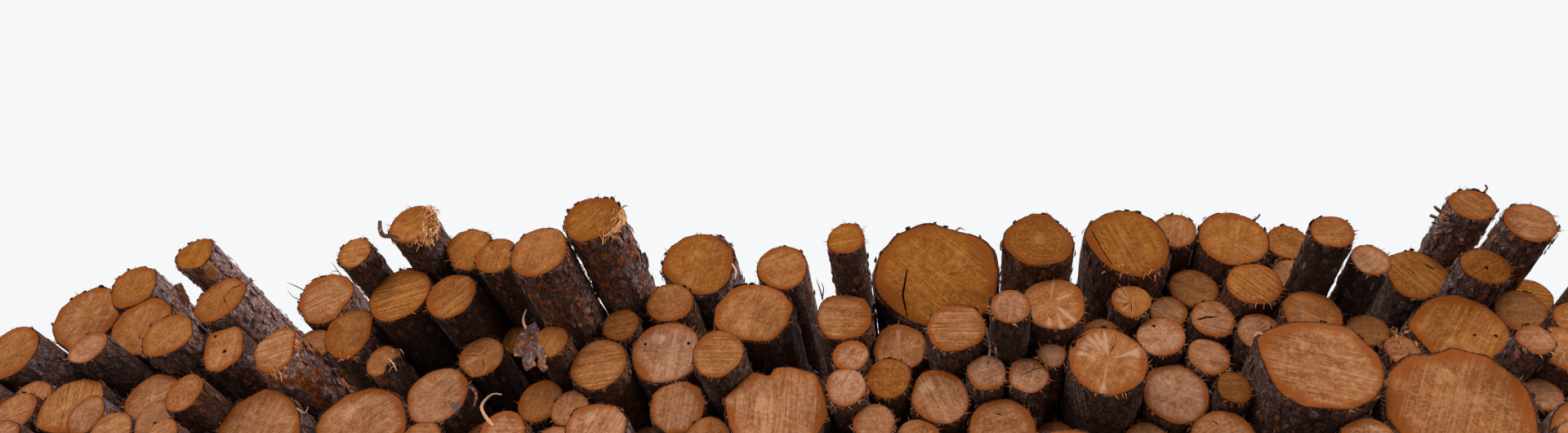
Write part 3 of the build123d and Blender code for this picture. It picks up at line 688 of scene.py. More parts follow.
class Build:
    # one log's surface; spot() gives a point by its place round the log, share of the outline and way along
    def __init__(self, mesh, log, detail):
        self.mesh, self.log, self.detail = mesh, log, detail
        self.around = detail["around"]
        self.radii, self.woodShares = outlineOf(log, self.around)
        front, back = log.frontMiddle, log.backMiddle
        self.length = depth(log.backPlane, back.x, back.z) - depth(log.frontPlane, front.x, front.z)
        tries = (0.3, 1.9, 3.4, 5)   # turns at which the back is measured against the front
        grown = [reachTo(log.back, back, k) / reachTo(log.front, front, k) for k in tries]
        self.backScale = sum(grown) / len(grown)
        self.turns = [2 * pi * j / self.around for j in range(self.around)]

    def middleAt(self, t):
        return self.log.frontMiddle.lerp(self.log.backMiddle, t)

    def stepAt(self, turn):
        return int(turn / (2 * pi) * self.around) % self.around

    def woodReach(self, j):
        return self.radii[j] * self.woodShares[j]

    def spot(self, j, share, t, setBack=0.0):
        log = self.log
        scale = (1 + (self.backScale - 1) * t) * share * self.radii[j]
        x = log.frontMiddle.x + (log.backMiddle.x - log.frontMiddle.x) * t + scale * cos(self.turns[j])
        z = log.frontMiddle.z + (log.backMiddle.z - log.frontMiddle.z) * t + scale * sin(self.turns[j])
        start, end = depth(log.frontPlane, x, z), depth(log.backPlane, x, z)
        return Vector((x, start + (end - start) * t + setBack, z))

    def make(self):
        rows = [self.barkRow(t) for t in [0.0] + [d / self.length for d in self.detail["along"]] + [1.0]]
        for first, second in zip(rows, rows[1:]):
            self.mesh.band(first, second, bark)
        self.end(rows[0], 0.0, self.detail["rings"])
        self.end(rows[-1], 1.0, plainLog["rings"])

    def setBack(self, j, t, step, start=0):
        # how far the bark's broken edge lies behind the sawn face
        low, high = logShape["barkStep"]
        place = Vector((j * logShape["stepNoise"] + start, self.log.seed, logShape["backNoise"] * t))
        return low + (high - low) * abs(noise.noise(place)) * step

    def barkRow(self, t):
        log, look, row = self.log, logShape, []
        for j in range(self.around):
            base = self.spot(j, 1.0, t)
            place = Vector(a * b for a, b in zip(base, look["reliefScale"])) + Vector((0, 0, log.seed))
            rough = abs(noise.noise(place)) + look["second"] * abs(noise.noise(place * look["secondScale"]))
            bump = look["relief"] * (look["leastScaly"] + log.scaly) * rough
            bump /= max(self.radii[j], look["thinnest"])
            share, setBack = 1.0 - min(look["reliefLimit"], bump), 0.0
            if t in (0.0, 1.0):
                setBack = self.setBack(j, t, look["outerStep"])
                share -= look["barkGap"]
            point = self.spot(j, share, t, setBack if t < 0.5 else -setBack)
            row.append(self.mesh.add(point, log.seed, tone=log.barkTone))
        return row

    def within(self, point, middle):
        # a point of the front end, pulled back to just inside its rim
        away = Vector((point.x - middle.x, point.y - middle.z))
        full = self.woodReach(self.stepAt(atan2(away.y, away.x))) * logShape["featureReach"]
        return point if away.length < full else point - away * (1 - full / away.length)

    def endOutline(self, rim, middle, rings, features, picks):
        # the sawn face in the flat: its rim, inner rings and features as points, and the edges that it keeps
        around, look = self.around, logShape
        flat = [Vector((p.x, p.z)) for p in rim]
        core = Vector((middle.x, middle.z))
        edges = [(j, (j + 1) % around) for j in range(around)]
        for share in rings:
            inner = share < look["ringOuter"]
            count = max(look["ringLeast"], round(around * share * (look["ringFew"] if inner else 1.0)))
            offset = picks.uniform(0, 1)
            for k in range(count):
                j = int((k + offset) * around / count) % around
                near = share + picks.uniform(-look["ringSpread"], look["ringSpread"]) * inner
                flat.append(core.lerp(flat[j], near))
        flat.append(core)
        for feature in features:
            feature.outline = [self.within(point, middle) for point in feature.outline]
            feature.inner = [self.within(point, middle) for point in feature.inner]
            start, n = len(flat), len(feature.outline)
            flat += feature.outline + feature.inner
            edges += [(start + i, start + (i + 1) % n) for i in range(n)]
            edges += [(start + n + i, start + n + i + 1) for i in range(len(feature.inner) - 1)]
        return flat, edges

    def end(self, barkRow, t, rings):
        # the sawn face, its short wooden edge and the broken edge of the bark
        mesh, log, around, look = self.mesh, self.log, self.around, logShape
        inside = 1 if t == 0.0 else -1
        ends = {"marks": log.marks, "tone": log.tone}
        innerBark, neck, rim = [], [], []
        for j in range(around):
            share = self.woodShares[j]
            setBack = inside * self.setBack(j, t, look["innerStep"], look["innerNoise"])
            barkPoint = self.spot(j, share + look["barkGap"], t, setBack)
            woodPoint = self.spot(j, share + look["woodGap"], t, setBack)
            innerBark.append(mesh.add(barkPoint, log.seed, tone=log.barkTone))
            neck.append(mesh.add(woodPoint, log.seed, place=(0, 0, 1.0), **ends))
            rim.append(self.spot(j, share, t))
        middle, plane = (log.frontMiddle, log.frontPlane) if t == 0.0 else (log.backMiddle, log.backPlane)
        features = log.features if t == 0.0 else []
        flat, edges = self.endOutline(rim, middle, rings, features, Random(log.draws + int(t)))
        points, _, faces, *_ = delaunay_2d_cdt(flat, edges, [], 1, look["weld"])
        scale = 1 if t == 0.0 else self.backScale
        made = []
        for x, z in points:
            turn = (atan2(z - middle.z, x - middle.x) / (2 * pi) * around) % around
            a, part = int(turn) % around, turn % 1
            b = (a + 1) % around
            full = scale * (self.woodReach(a) * (1 - part) + self.woodReach(b) * part)
            share = min(1.0, hypot(x - middle.x, z - middle.z) / full)
            spots = [0.0, 0.0, 0.0]
            for feature in features:
                feature.mark(Vector((x, z)), spots)
            sunk = spots[0] * look["crackDepth"] + spots[2] * look["greyDepth"]
            fineness = look["unevenScale"]
            uneven = look["uneven"] * noise.noise(Vector((x * fineness, z * fineness, log.seed)))
            edge = look["rimDrop"] if share > look["rimShare"] else 0.0
            y = depth(plane, x, z) + inside * (edge + sunk + uneven + look["faceDepth"])
            place = (x - middle.x - log.pith[0], z - middle.z - log.pith[1], share)
            made.append(mesh.add((x, y, z), log.seed, spots=spots, place=place, **ends))
        for corners in faces:
            (ax, az), (bx, bz), (cx, cz) = (points[i] for i in corners[:3])
            ordered = [made[i] for i in corners]
            if ((bx - ax) * (cz - az) - (bz - az) * (cx - ax) > 0) != (t == 0.0):
                ordered.reverse()
            mesh.face(tuple(ordered), wood)
        for first, second, finish in ((innerBark, barkRow, bark), (made[:around], neck, wood)):
            mesh.band(*((second, first) if t == 1.0 else (first, second)), finish)


# Cracks and marks: lengths in metres, the rest as shares of their width or size
featureLook = {"crackStep": 0.02, "crackTip": 0.55, "crackFloor": 0.1, "corners": 10, "lobes": 0.2,
               "lobeCount": 3, "lobeTurn": 900, "inner": 0.45, "marked": 0.5}


class Crack:
    # a crack along a line in a sawn face, sunk along its middle and painted dark there: painted shade in the
    # groove
    def __init__(self, line, width):
        self.inner, self.width = [], width
        for a, b in zip(line, line[1:]):
            steps = max(2, int((b - a).length / featureLook["crackStep"]))
            self.inner += [a.lerp(b, k / steps) for k in range(steps)]
        self.inner.append(line[-1])
        sides, tip = [[], []], featureLook["crackTip"]
        for k, point in enumerate(self.inner[1:-1], 1):
            ahead = (self.inner[k + 1] - self.inner[k - 1]).normalized()
            half = width / 2 * (tip + (1 - tip) * sin(pi * k / (len(self.inner) - 1)))
            sides[0].append(point + Vector((-ahead.y, ahead.x)) * half)
            sides[1].append(point - Vector((-ahead.y, ahead.x)) * half)
        self.outline = [self.inner[0]] + sides[0] + [self.inner[-1]] + sides[1][::-1]

    def mark(self, point, spots):
        # the crack's middle gets the dark spot share: painted shade in the groove
        if min((point - c).length for c in self.inner[1:-1]) < self.width * featureLook["crackFloor"]:
            spots[0] = 1.0


class Mark:
    # a round place in a sawn face that is darker, paler or greyer
    def __init__(self, middle, size, amounts):
        self.middle, self.size, self.amounts = middle, size, amounts
        look = featureLook
        turns = [2 * pi * k / look["corners"] for k in range(look["corners"])]
        rays = [Vector((cos(a), sin(a))) * size for a in turns]
        lobes = [1 + look["lobes"] * sin(look["lobeCount"] * a + size * look["lobeTurn"]) for a in turns]
        self.outline = [middle + ray * lobe for ray, lobe in zip(rays, lobes)]
        self.inner = [middle + ray * look["inner"] for ray in rays[::2]]

    def mark(self, point, spots):
        if (point - self.middle).length < self.size * featureLook["marked"]:
            for k in range(3):
                spots[k] = max(spots[k], self.amounts[k])


# Steps along a line of sight in search of a log's side, in metres
sideSteps = {"from": 1.5, "each": 0.006, "count": 1200}


def barkAt(log, u, v):
    # where the line of sight meets the side of a log, and which way that side faces
    line, build = sightLine(u, v), log.build
    for step in range(sideSteps["count"]):
        point = eye + line * (sideSteps["from"] + step * sideSteps["each"])
        start, end = depth(log.frontPlane, point.x, point.z), depth(log.backPlane, point.x, point.z)
        t = (point.y - start) / (end - start)
        if t < 0:
            continue
        middle = build.middleAt(t)
        turn = atan2(point.z - middle.z, point.x - middle.x)
        radius = build.radii[build.stepAt(turn)]
        if hypot(point.x - middle.x, point.z - middle.z) < radius * (1 + (build.backScale - 1) * t):
            return point, Vector((cos(turn), 0, sin(turn)))
    return frontAt(log, u, v), Vector((0, -1, 0))


# Strips: how a tip thins, how uneven the sides are, and the places of the corners round the strip
stripLook = {"thinning": 1.5, "uneven": 0.25, "unevenScale": 60, "between": (0.0, 0.33, 0.67),
             "corners": ((1, 0), (0.5, 0.86), (-0.5, 0.86), (-1, 0), (-0.5, -0.86), (0.5, -0.86))}


def strip(mesh, path, width, flatness, finish, tip, **kept):
    # a tapering strip or twig on a smooth curve through the points of a path
    line, look = [], stripLook
    for k in range(len(path) - 1):
        a, b, c, d = (path[max(0, min(len(path) - 1, k + i))] for i in (-1, 0, 1, 2))
        for t in look["between"]:
            line.append(0.5 * (2 * b + (c - a) * t + (2 * a - 5 * b + 4 * c - d) * t * t
                               + (3 * b - a - 3 * c + d) * t ** 3))
    line.append(path[-1])
    rings = []
    for k, point in enumerate(line):
        ahead = (line[min(k + 1, len(line) - 1)] - line[max(k - 1, 0)]).normalized()
        side = ahead.cross((point - eye).normalized()).normalized()
        out = side.cross(ahead)
        half = width / 2 * (1 - (1 - tip) * (k / (len(line) - 1)) ** look["thinning"])
        half *= 1 + look["uneven"] * noise.noise(point * look["unevenScale"])
        rings.append([mesh.add(point + side * half * a + out * half * flatness * b, **kept)
                      for a, b in look["corners"]])
    for first, second in zip(rings, rings[1:]):
        mesh.band(second, first, finish)
    mesh.face(tuple(rings[0]), finish)
    mesh.face(tuple(reversed(rings[-1])), finish)


# Mounds: the share of the rim and of the height of each row, the first one sunk into the log, and the top
moundLook = {"rows": ((1.1, None), (1.0, 0.4), (0.8, 1.0), (0.35, 0.8)), "sunk": -0.012, "top": 0.7}


def patchOn(mesh, log, rim, height, finish, **kept):
    # a low mound on a log's side, its rim given in the picture
    found = [barkAt(log, u, v) for u, v in rim]
    outward = sum((normal for _, normal in found), Vector()).normalized()
    middle = sum((point for point, _ in found), Vector()) / len(found)
    rows = []
    for share, rise in moundLook["rows"]:
        lift = outward * (moundLook["sunk"] if rise is None else height * rise)
        rows.append([mesh.add(middle.lerp(point, share) + lift, **kept) for point, _ in found])
    top = mesh.add(middle + outward * height * moundLook["top"], **kept)
    for first, second in zip(rows, rows[1:]):
        mesh.band(first, second, finish)
    for a, b in zip(rows[-1], rows[-1][1:] + rows[-1][:1]):
        mesh.face((a, top, b), finish)


def drawer(picks, look):
    # draws a number from a named range of a dictionary
    return lambda name: picks.uniform(*look[name])


# Loose plates of bark: lengths in metres, their outline as shares of half their width and length, tone by
# greyness, redness and darkness
flakeLook = {
    "count": 260, "reach": 1.1, "crowding": 1.4, "long": (0.02, 0.055), "wide": (0.012, 0.03),
    "lift": (0.002, 0.008), "twist": (-0.5, 0.5),
    "outline": ((-1, -0.5), (-0.4, -1), (0.5, -0.9), (1, -0.2), (0.8, 0.7), (0, 1), (-0.8, 0.6)),
    "uneven": (0.75, 1.1), "sunk": 0.0015, "top": 0.5, "greyer": (-0.1, 0.7), "greyest": 1.4,
    "redder": (-0.2, 0.5), "reddest": 2.4, "darkness": (0.3, 1)}


def flakes(build, count, picks):
    # loose plates of bark near the front of a log, each held at one edge
    log, mesh, look, draw = build.log, build.mesh, flakeLook, drawer(picks, flakeLook)
    for _ in range(count):
        j, t = picks.randrange(build.around), look["reach"] * picks.random() ** look["crowding"] / build.length
        long, wide, lift, twist = (draw(name) for name in ("long", "wide", "lift", "twist"))
        heldEdge = 1 if picks.random() < 0.5 else -1
        greyness, redness, darkness = log.barkTone
        # the flakes keep part of the log's darkness, and with it part of its painted light where that is below
        # 0
        tone = (min(look["greyest"], greyness + draw("greyer")),
                min(look["reddest"], redness + draw("redder")), darkness * draw("darkness"))
        kept = {"seed": log.seed + j, "tone": tone}
        corners, radius = [], build.radii[j]
        for a, b in look["outline"]:
            a, b = a * draw("uneven"), b * draw("uneven")
            sideways = (a * cos(twist) - b * sin(twist)) * wide / 2
            place = max(0.0, t + (a * sin(twist) + b * cos(twist)) * long / 2 / build.length)
            rise = lift * (0.5 + 0.5 * heldEdge * b) - look["sunk"]
            low, middle = build.spot(j, 1.0 + rise / radius, place), build.middleAt(place)
            reach, turn = hypot(low.x - middle.x, low.z - middle.z), build.turns[j] + sideways / radius
            point = (middle.x + reach * cos(turn), low.y, middle.z + reach * sin(turn))
            corners.append(mesh.add(point, **kept))
        middle = sum((Vector(mesh.points[i]) for i in corners), Vector()) / len(corners)
        outward = Vector((cos(build.turns[j]), 0, sin(build.turns[j])))
        mesh.fan(corners, mesh.add(middle + outward * lift * look["top"], **kept), bark)


# Torn fibres round the rims: most hang at the underside. Lengths in metres
fringeLook = {
    "count": 26, "longest": 0.022, "shortest": 0.006, "thinning": 1.6, "half": (0.0012, 0.003), "below": 0.75,
    "spread": 1.3, "inside": 0.01, "sunk": 0.003, "out": (0.4, 1), "along": (-0.9, 0.9), "ahead": (-0.5, 0.1),
    "depth": 1.2, "wooden": 0.65, "light": (0.8, 1.15), "barkTone": (0.5, 0.6, 0.2),
    "place": (0.02, 0.02, 0.55)}


def fringe(build, picks):
    # small torn fibres round the rim of the sawn face
    log, mesh, look, draw = build.log, build.mesh, fringeLook, drawer(picks, fringeLook)
    for _ in range(look["count"]):
        below = picks.random() < look["below"]
        turn = picks.gauss(-pi / 2, look["spread"]) if below else picks.uniform(0, 2 * pi)
        j = build.stepAt(turn)
        root = build.spot(j, build.woodShares[j] - look["inside"], 0.0, look["sunk"])
        out = Vector((cos(build.turns[j]), 0, sin(build.turns[j])))
        along = Vector((-out.z, 0, out.x))
        length = look["longest"] * picks.random() ** look["thinning"] + look["shortest"]
        half = draw("half")
        lean = out * draw("out") + along * draw("along") + Vector((0, draw("ahead"), 0))
        finish = wood if picks.random() < look["wooden"] else bark
        tone = (log.tone[0], log.tone[1] * draw("light"), 0) if finish == wood else look["barkTone"]
        kept = {"seed": log.seed, "place": look["place"], "tone": tone}
        sides = (along * half, Vector((0, half * look["depth"], 0)), -along * half)
        foot = [mesh.add(root + side, **kept) for side in sides]
        mesh.fan(foot[::-1], mesh.add(root + lean.normalized() * length, **kept), finish)
        mesh.face(tuple(foot), finish)


# What a log looks like that no table names, by chance: pinker further down the picture
plainLook = {"seed": (0, 90), "pinkFrom": 380, "pinkOver": 150, "pinkSpread": (-0.25, 0.3), "pinkest": 0.6,
             "saw": (0.15, 0.3, 0.6, 1.0), "rays": (0.0, 0.0, 0.3), "rings": (0.0, 0.6), "light": (0.82, 1.02),
             "barkTone": ((0, 0.8), (0.1, 0.6), (0.1, 0.5)), "scaly": (0.3, 1.0), "pith": (-0.012, 0.012),
             "reach": 60}   # how far in the picture an end may lie from its place in the table
hidden = ("lower_course", "left_end", "right_end", "filling")
seenNodes = [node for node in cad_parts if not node.startswith(hidden)]
draw = drawer(chance, plainLook)
for log in logs:
    log.seed = draw("seed")
    log.draws = int(log.seed * 1000)   # seed of the log's own draws
    middle = log.frontMiddle
    log.u, log.v = pictured((middle.x, depth(log.frontPlane, middle.x, middle.z), middle.z))
    pink = max(0.0, min(1.0, (log.v - plainLook["pinkFrom"]) / plainLook["pinkOver"] + draw("pinkSpread")))
    log.marks = (chance.choice(plainLook["saw"]), chance.choice(plainLook["rays"]), draw("rings"))
    log.tone = (min(pink, plainLook["pinkest"]), draw("light"), chance.uniform(0, pi))
    log.barkTone = tuple(chance.uniform(*span) for span in plainLook["barkTone"])
    log.scaly = draw("scaly")
    log.pith = (draw("pith"), draw("pith"))
    log.features, log.shape, log.key = [], None, None


def moved(log, place):
    # a place in the picture, moved to where its log lies
    return place[0] + log.shift[0], place[1] + log.shift[1]


def flatAt(log, place):
    # a place in the picture as a point across and up on the log's sawn face
    found = frontAt(log, *moved(log, place))
    return Vector((found.x, found.z))


# Each seen end goes to the nearest log that has no look yet, the nearest pairs first
free = [log for log in logs if log.node in seenNodes]
pairs = sorted((hypot(log.u - look[0], log.v - look[1]), k, i) for k, look in enumerate(endLooks)
               for i, log in enumerate(free))
given = set()
for distance, k, i in pairs:
    log = free[i]
    if log.key or k in given or distance > plainLook["reach"]:
        continue
    given.add(k)
    u, v, pink, light, saw, lines, rays, rings = endLooks[k]
    log.key, log.shift, log.marks = (u, v), (log.u - u, log.v - v), (saw, rays, rings)
    here = frontAt(log, log.u, log.v)
    there = frontAt(log, log.u + cos(radians(lines)), log.v - sin(radians(lines)))
    log.tone = (pink, light, atan2(there.z - here.z, there.x - here.x))
    if log.key in endShapes:
        log.shape = [frontAt(log, *moved(log, place)) for place in endShapes[log.key]]
    if log.key in barkLooks:
        *tone, log.scaly = barkLooks[log.key]
        log.barkTone = tuple(tone)
    for line, width in endCracks.get(log.key, []):
        log.features.append(Crack([flatAt(log, place) for place in line], width))
    for place, size, *amounts in endMarks.get(log.key, []):
        log.features.append(Mark(flatAt(log, place), size, amounts))
logAt = {log.key: log for log in free if log.key}
print("ends matched:", len(logAt), "of", len(endLooks))

for node in sorted(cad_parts):
    mesh = Mesh()
    for log in logs:
        if log.node != node:
            continue
        log.build = Build(mesh, log, fineLog if node in seenNodes else plainLog)
        log.build.make()
        if node in seenNodes:
            picks = Random(log.draws)
            flakes(log.build, int(flakeLook["count"] * log.scaly), picks)
            fringe(log.build, picks)
    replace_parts(mesh.make("cut_" + node), node)

# Bark rags, twigs and torn fibres by the end they hold on to: width at the root in metres, flatness (the twigs
# are round), how far the tip stands out in metres (None: along the bark), and the way through the picture
barkRags = {
    (510, 276): [(0.02, 0.2, 0.01, [(494, 295), (486, 291), (476, 290), (472, 282), (472, 272)])],
    (731, 270): [(0.022, 0.3, None, [(795, 332), (797, 322), (793, 310)])],
    (685, 417): [(0.07, 0.15, 0.03, [(672, 404), (662, 410), (652, 424), (650, 436)]), (0.055, 0.15, 0.04,
        [(668, 412), (664, 426), (658, 440), (662, 450)]), (0.03, 0.2, 0.05, [(670, 424), (676, 436),
        (674, 446), (680, 452)])],
    (538, 484): [(0.012, 0.3, 0.02, [(570, 473), (580, 474), (586, 484), (583, 498)])],
    (161, 351): [(0.045, 0.15, None, [(222, 374), (221, 364), (217, 354), (214, 347)])],
    (1802, 249): [(0.012, 0.4, 0.02, [(1774, 262), (1763, 258), (1755, 251)]), (0.014, 0.4, 0.03,
        [(1774, 268), (1760, 266), (1750, 262)]), (0.01, 0.4, 0.02, [(1773, 272), (1762, 273), (1752, 271)]),
        (0.016, 0.4, 0.02, [(1776, 256), (1768, 260), (1762, 270)]), (0.007, 0.5, 0.01, [(1816, 234),
        (1820, 229), (1817, 225)])],
    (1508, 292): [(0.007, 0.5, 0.01, [(1532, 270), (1537, 267), (1541, 262)])],
    (853, 322): [(0.014, 0.3, 0.01, [(872, 290), (882, 294), (892, 300)])],
    (1173, 402): [(0.009, 0.3, 0.03, [(1209, 402), (1214, 425), (1211, 447)]), (0.008, 0.3, 0.03,
        [(1209, 407), (1220, 424), (1222, 445)])],
    (950, 500): [(0.008, 0.4, 0.02, [(1012, 485), (1020, 494), (1017, 506)])]}
twigs = {
    (1353, 443): [(0.004, 0.03, [(1314, 462), (1316, 486), (1322, 513)]), (0.003, 0.01, [(1311, 458),
        (1311, 480), (1313, 500)]), (0.003, 0.03, [(1317, 468), (1322, 485), (1327, 502)]), (0.003, 0.02,
        [(1322, 474), (1331, 486), (1329, 497)])],
    (384, 389): [(0.005, 0.0, [(362, 378), (350, 372), (340, 368)]), (0.004, 0.01, [(358, 390), (347, 385),
        (341, 377)]), (0.005, 0.02, [(409, 362), (402, 353), (395, 343)]), (0.004, 0.02, [(404, 355),
        (398, 354), (393, 357)]), (0.004, 0.0, [(417, 362), (428, 355), (443, 357)]), (0.004, 0.02,
        [(418, 364), (431, 362), (445, 364)]), (0.003, 0.0, [(420, 366), (430, 373), (441, 375)]),
        (0.003, 0.03, [(426, 358), (432, 352), (436, 350)]), (0.003, 0.03, [(432, 362), (438, 358),
        (446, 352)])],
    (1032, 389): [(0.006, 0.02, [(1005, 368), (1001, 354), (997, 343)]), (0.005, 0.0, [(1004, 368),
        (1006, 355), (1003, 347)])],
    (1173, 402): [(0.005, 0.03, [(1208, 416), (1216, 424), (1227, 421)]), (0.005, 0.02, [(1207, 420),
        (1218, 432), (1227, 436)])],
    (1381, 368): [(0.004, 0.01, [(1356, 366), (1352, 372), (1355, 386)])],
    (268, 368): [(0.004, 0.01, [(300, 350), (306, 345), (312, 343)])],
    (660, 311): [(0.005, 0.01, [(690, 292), (697, 297), (700, 304)])]}
tornFibres = {
    (731, 270): [(0.024, 0.3, 0.01, [(764, 260), (768, 269), (763, 279), (757, 286)]), (0.016, 0.3, 0.02,
        [(765, 258), (770, 266), (769, 276)]), (0.016, 0.3, 0.02, [(759, 280), (752, 287), (744, 290)])],
    (615, 532): [(0.012, 0.4, 0.03, [(606, 522), (596, 510), (591, 498), (597, 488), (606, 482),
        (616, 483)])],
    (685, 417): [(0.012, 0.4, 0.02, [(663, 412), (655, 400), (652, 390), (656, 378)])],
    (330, 431): [(0.005, 0.4, 0.01, [(332, 455), (335, 462), (336, 469)]), (0.004, 0.4, 0.02, [(326, 455),
        (328, 462), (331, 466)])],
    (1616, 446): [(0.014, 0.4, 0.0, [(1545, 410), (1540, 408), (1535, 412)])],
    (465, 442): [(0.007, 0.4, 0.01, [(470, 440), (476, 446), (480, 455)])],
    (853, 322): [(0.01, 0.4, 0.01, [(893, 322), (898, 330), (897, 340)])],
    (308, 525): [(0.008, 0.4, 0.02, [(352, 500), (362, 506), (366, 498)])],
    (1144, 338): [(0.008, 0.4, 0.01, [(1168, 286), (1174, 281), (1180, 284)])]}

# Tufts of torn fibres: their end, left, right, top, bottom in the picture, number, width in metres, paleness.
# The paleness is the torn wood's own paler colour, and painted sunlight on the tufts by (510, 276) and (731,
# 270)
fibreTufts = [
    ((1712, 428), (1697, 1733, 402, 428), 26, 0.008, 0.3),
    ((1378, 298), (1350, 1424, 322, 338), 22, 0.006, 0), ((510, 276), (525, 541, 256, 292), 80, 0.005, 1),
    ((510, 276), (514, 536, 286, 303), 44, 0.005, 0.7), ((731, 270), (756, 771, 254, 284), 44, 0.005, 1),
    ((731, 270), (738, 762, 280, 292), 24, 0.005, 0.7), ((429, 410), (400, 440, 430, 442), 8, 0.005, 0),
    ((1579, 295), (1556, 1600, 314, 322), 8, 0.005, 0), ((330, 431), (318, 348, 450, 462), 14, 0.004, 0.4),
    ((465, 442), (468, 484, 428, 450), 10, 0.006, 0.1), ((1532, 348), (1515, 1560, 366, 374), 8, 0.005, 0)]

# Knots and a torn slab on the sides of logs: their end, rim in the picture, height in metres, finish and tone.
# A darkness below 0 in a bark tone is painted light on a patch that lies in shade
knots = [
    # lightness 1.3 and pale spots: the fresh torn wood's own paler colour, and painted sunlight
    ((510, 276), [(527, 258), (534, 256), (540, 263), (539, 271), (545, 277), (541, 287), (534, 292),
        (536, 300), (527, 303), (521, 295), (526, 287), (524, 276)], 0.014, wood, (0.35, 1.3, 0)),
    # darkness -0.45: painted light on a bark patch that lies in shade
    ((660, 311), [(706, 374), (716, 367), (728, 367), (735, 374), (730, 384), (716, 387)], 0.006, bark,
        (0.6, 1.5, -0.45)),
    ((238, 313), [(246, 327), (257, 322), (266, 331), (263, 345), (252, 342)], 0.009, wood, (0.1, 0.85, 0)),
    ((1802, 249), [(1757, 283), (1763, 282), (1764, 290), (1758, 291)], 0.016, wood, (0.5, 1.0, 0)),
    ((1802, 249), [(1786, 289), (1791, 289), (1791, 295), (1786, 295)], 0.014, wood, (0.5, 0.9, 0)),
    ((1871, 274), [(1836, 300), (1842, 299), (1843, 306), (1837, 307)], 0.010, bark, (1.0, 0.2, 0)),
    ((330, 431), [(356, 452), (364, 449), (368, 456), (360, 460)], 0.006, wood, (0.2, 0.8, 0))]

# How strips of each kind look; a root lies rootDepth deep in its log, in metres
rootDepth = 0.004
ragLook = {"grey": (0.2, 0.9), "red": (0.3, 0.9), "dark": 0.15, "tip": 0.75, "seedStep": 3.7}
twigLook = {"tone": (0.2, 0.5, 0.45), "seedStep": 2.9}
# torn fibres and tufts are lighter and paler than their ends: partly the torn wood's own colour, partly
# painted sunlight
fibreLook = {"pink": (0.2, 0.9), "light": (1.0, 1.3), "tip": 0.3, "seedStep": 1.7, "marks": (0.3, 0, 0)}
tuftLook = {"across": (-7, 7), "down": (-4, 9), "arch": 2, "standOut": (0, 0.03), "flatness": 0.5,
            "pink": (0, 0.5), "light": (0.8, 1.7)}
pithWood = {"place": (0.01, 0.01, 0.4)}   # coloured like wood near the middle of an end
# pale spots: the torn wood's own paler colour; on the torn slab also painted sunlight
knotWood = {"place": (0.01, 0.01, 0.6), "spots": (0, 1, 0)}


def held(mesh, key, width, flatness, standOut, way, finish, tip=0.25, **kept):
    # a strip whose root is in the end it holds on to
    log = logAt[key]
    path = []
    for k, place in enumerate(way):
        u, v = moved(log, place)
        line = sightLine(u, v)
        if standOut is None:   # stands on the side of the log
            away = away if k else (barkAt(log, u, v)[0] - eye).length + rootDepth
            path.append(eye + line * away)
        else:
            path.append(frontAt(log, u, v) - line * (standOut * k / (len(way) - 1) - rootDepth))
    strip(mesh, path, width, flatness, finish, tip, **kept)


def rowsOf(table):
    # every row of a table by end, numbered and with its end first
    return enumerate((key, *row) for key, rows in table.items() for row in rows)


ragMesh, twigMesh, fibreMesh = Mesh(), Mesh(), Mesh()
draw = drawer(chance, ragLook)
for k, values in rowsOf(barkRags):
    held(ragMesh, *values, bark, ragLook["tip"], seed=k * ragLook["seedStep"],
         tone=(draw("grey"), draw("red"), ragLook["dark"]))
for k, (key, width, *values) in rowsOf(twigs):
    held(twigMesh, key, width, 1, *values, bark, seed=k * twigLook["seedStep"], tone=twigLook["tone"])
draw = drawer(chance, fibreLook)
for k, values in rowsOf(tornFibres):
    held(fibreMesh, *values, wood, fibreLook["tip"], seed=k * fibreLook["seedStep"], marks=fibreLook["marks"],
         tone=(draw("pink"), draw("light"), 0), spots=(0, 1, 0), **pithWood)
draw = drawer(chance, tuftLook)
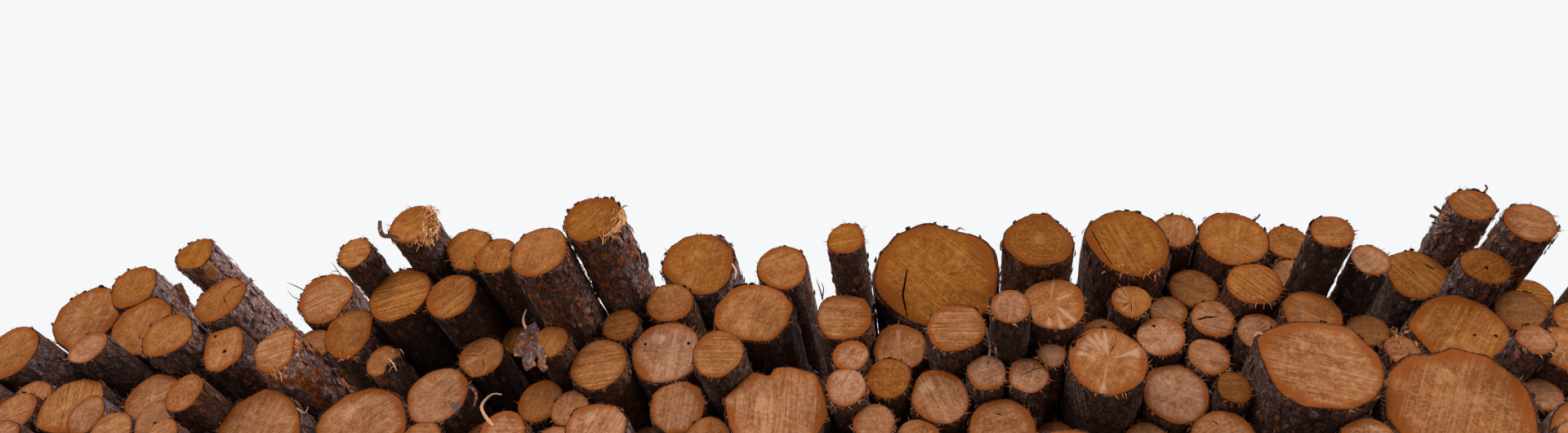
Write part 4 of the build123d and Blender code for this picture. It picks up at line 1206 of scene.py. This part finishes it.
# each tuft's lightness and paleness: its torn wood's own paler colour, and painted sunlight on the lit tufts
for key, (left, right, top, bottom), count, width, paleness in fibreTufts:
    for _ in range(count):
        u, v = chance.uniform(left, right), chance.uniform(top, bottom)
        tip = (u + draw("across"), v + draw("down"))
        way = [(u, v), ((u + tip[0]) / 2, (v + tip[1]) / 2 - tuftLook["arch"]), tip]
        held(fibreMesh, key, width, tuftLook["flatness"], draw("standOut"), way, wood, seed=u,
             tone=(draw("pink"), draw("light"), 0), spots=(0, paleness, 0), **pithWood)
for key, rim, height, finish, tone in knots:
    log = logAt[key]
    rim = [moved(log, place) for place in rim]
    patchOn(ragMesh, log, rim, height, finish, seed=log.seed, tone=tone, **knotWood)
for name, mesh in (("bark_rags", ragMesh), ("twigs", twigMesh), ("torn_fibres", fibreMesh)):
    mesh.make(name)

# Floor, light and backdrop: metres, and each lamp's place, spread in degrees and power
studio = {"floor": tint(212, 210, 207), "floorBounce": tint(120, 116, 110), "floorSize": 160,
          "speckle": {"Scale": 3.0, "Detail": 4}, "rough": (0.8, 0.1), "specular": 0.1,
          "sky": tint(246, 247, 249), "fill": 0.6, "lampColour": (1.0, 0.97, 0.93),
          "lamps": {"key_lamp": ((-4, -10.5, 3.2), 45, 1.8), "side_lamp": ((9, -4.5, 6.5), 35, 1.9),
                    "back_lamp": ((1, 10, 9), 35, 1.1)}}


def floorFinish():
    f = Finish(bpy.data.materials.new("pale_floor"))
    colour = f.mix(f.shownRays(), studio["floorBounce"], studio["floor"])
    return f.surface(studio, colour, f.node("ShaderNodeTexNoise", None, studio["speckle"]))


floorMesh = bpy.data.meshes.new("floor")
half = studio["floorSize"] / 2
corners = [(-half, -half, 0), (half, -half, 0), (half, half, 0), (-half, half, 0)]
floorMesh.from_pydata(corners, [], [(0, 1, 2, 3)])
floor = bpy.data.objects.new("floor", floorMesh)
bpy.context.scene.collection.objects.link(floor)
floorMesh.materials.append(floorFinish())

world = bpy.data.worlds.new("studio")
bpy.context.scene.world = world
sky = Finish(world)
skyStrength = sky.shownRays() * (1 - studio["fill"]) + studio["fill"]
sky.close(sky.node("ShaderNodeBackground", None, {"Color": studio["sky"], "Strength": skyStrength}),
          "ShaderNodeOutputWorld")

for name, (place, spread, power) in studio["lamps"].items():
    data = bpy.data.lights.new(name, "SUN")
    data.angle, data.energy, data.color = radians(spread), power, studio["lampColour"]
    lamp = bpy.data.objects.new(name, data)
    lamp.location = place
    lamp.rotation_euler = (-Vector(place)).to_track_quat("-Z", "Y").to_euler()
    bpy.context.scene.collection.objects.link(lamp)
bpy.context.scene.view_settings.view_transform = "Standard"
print("floor and lamps placed")
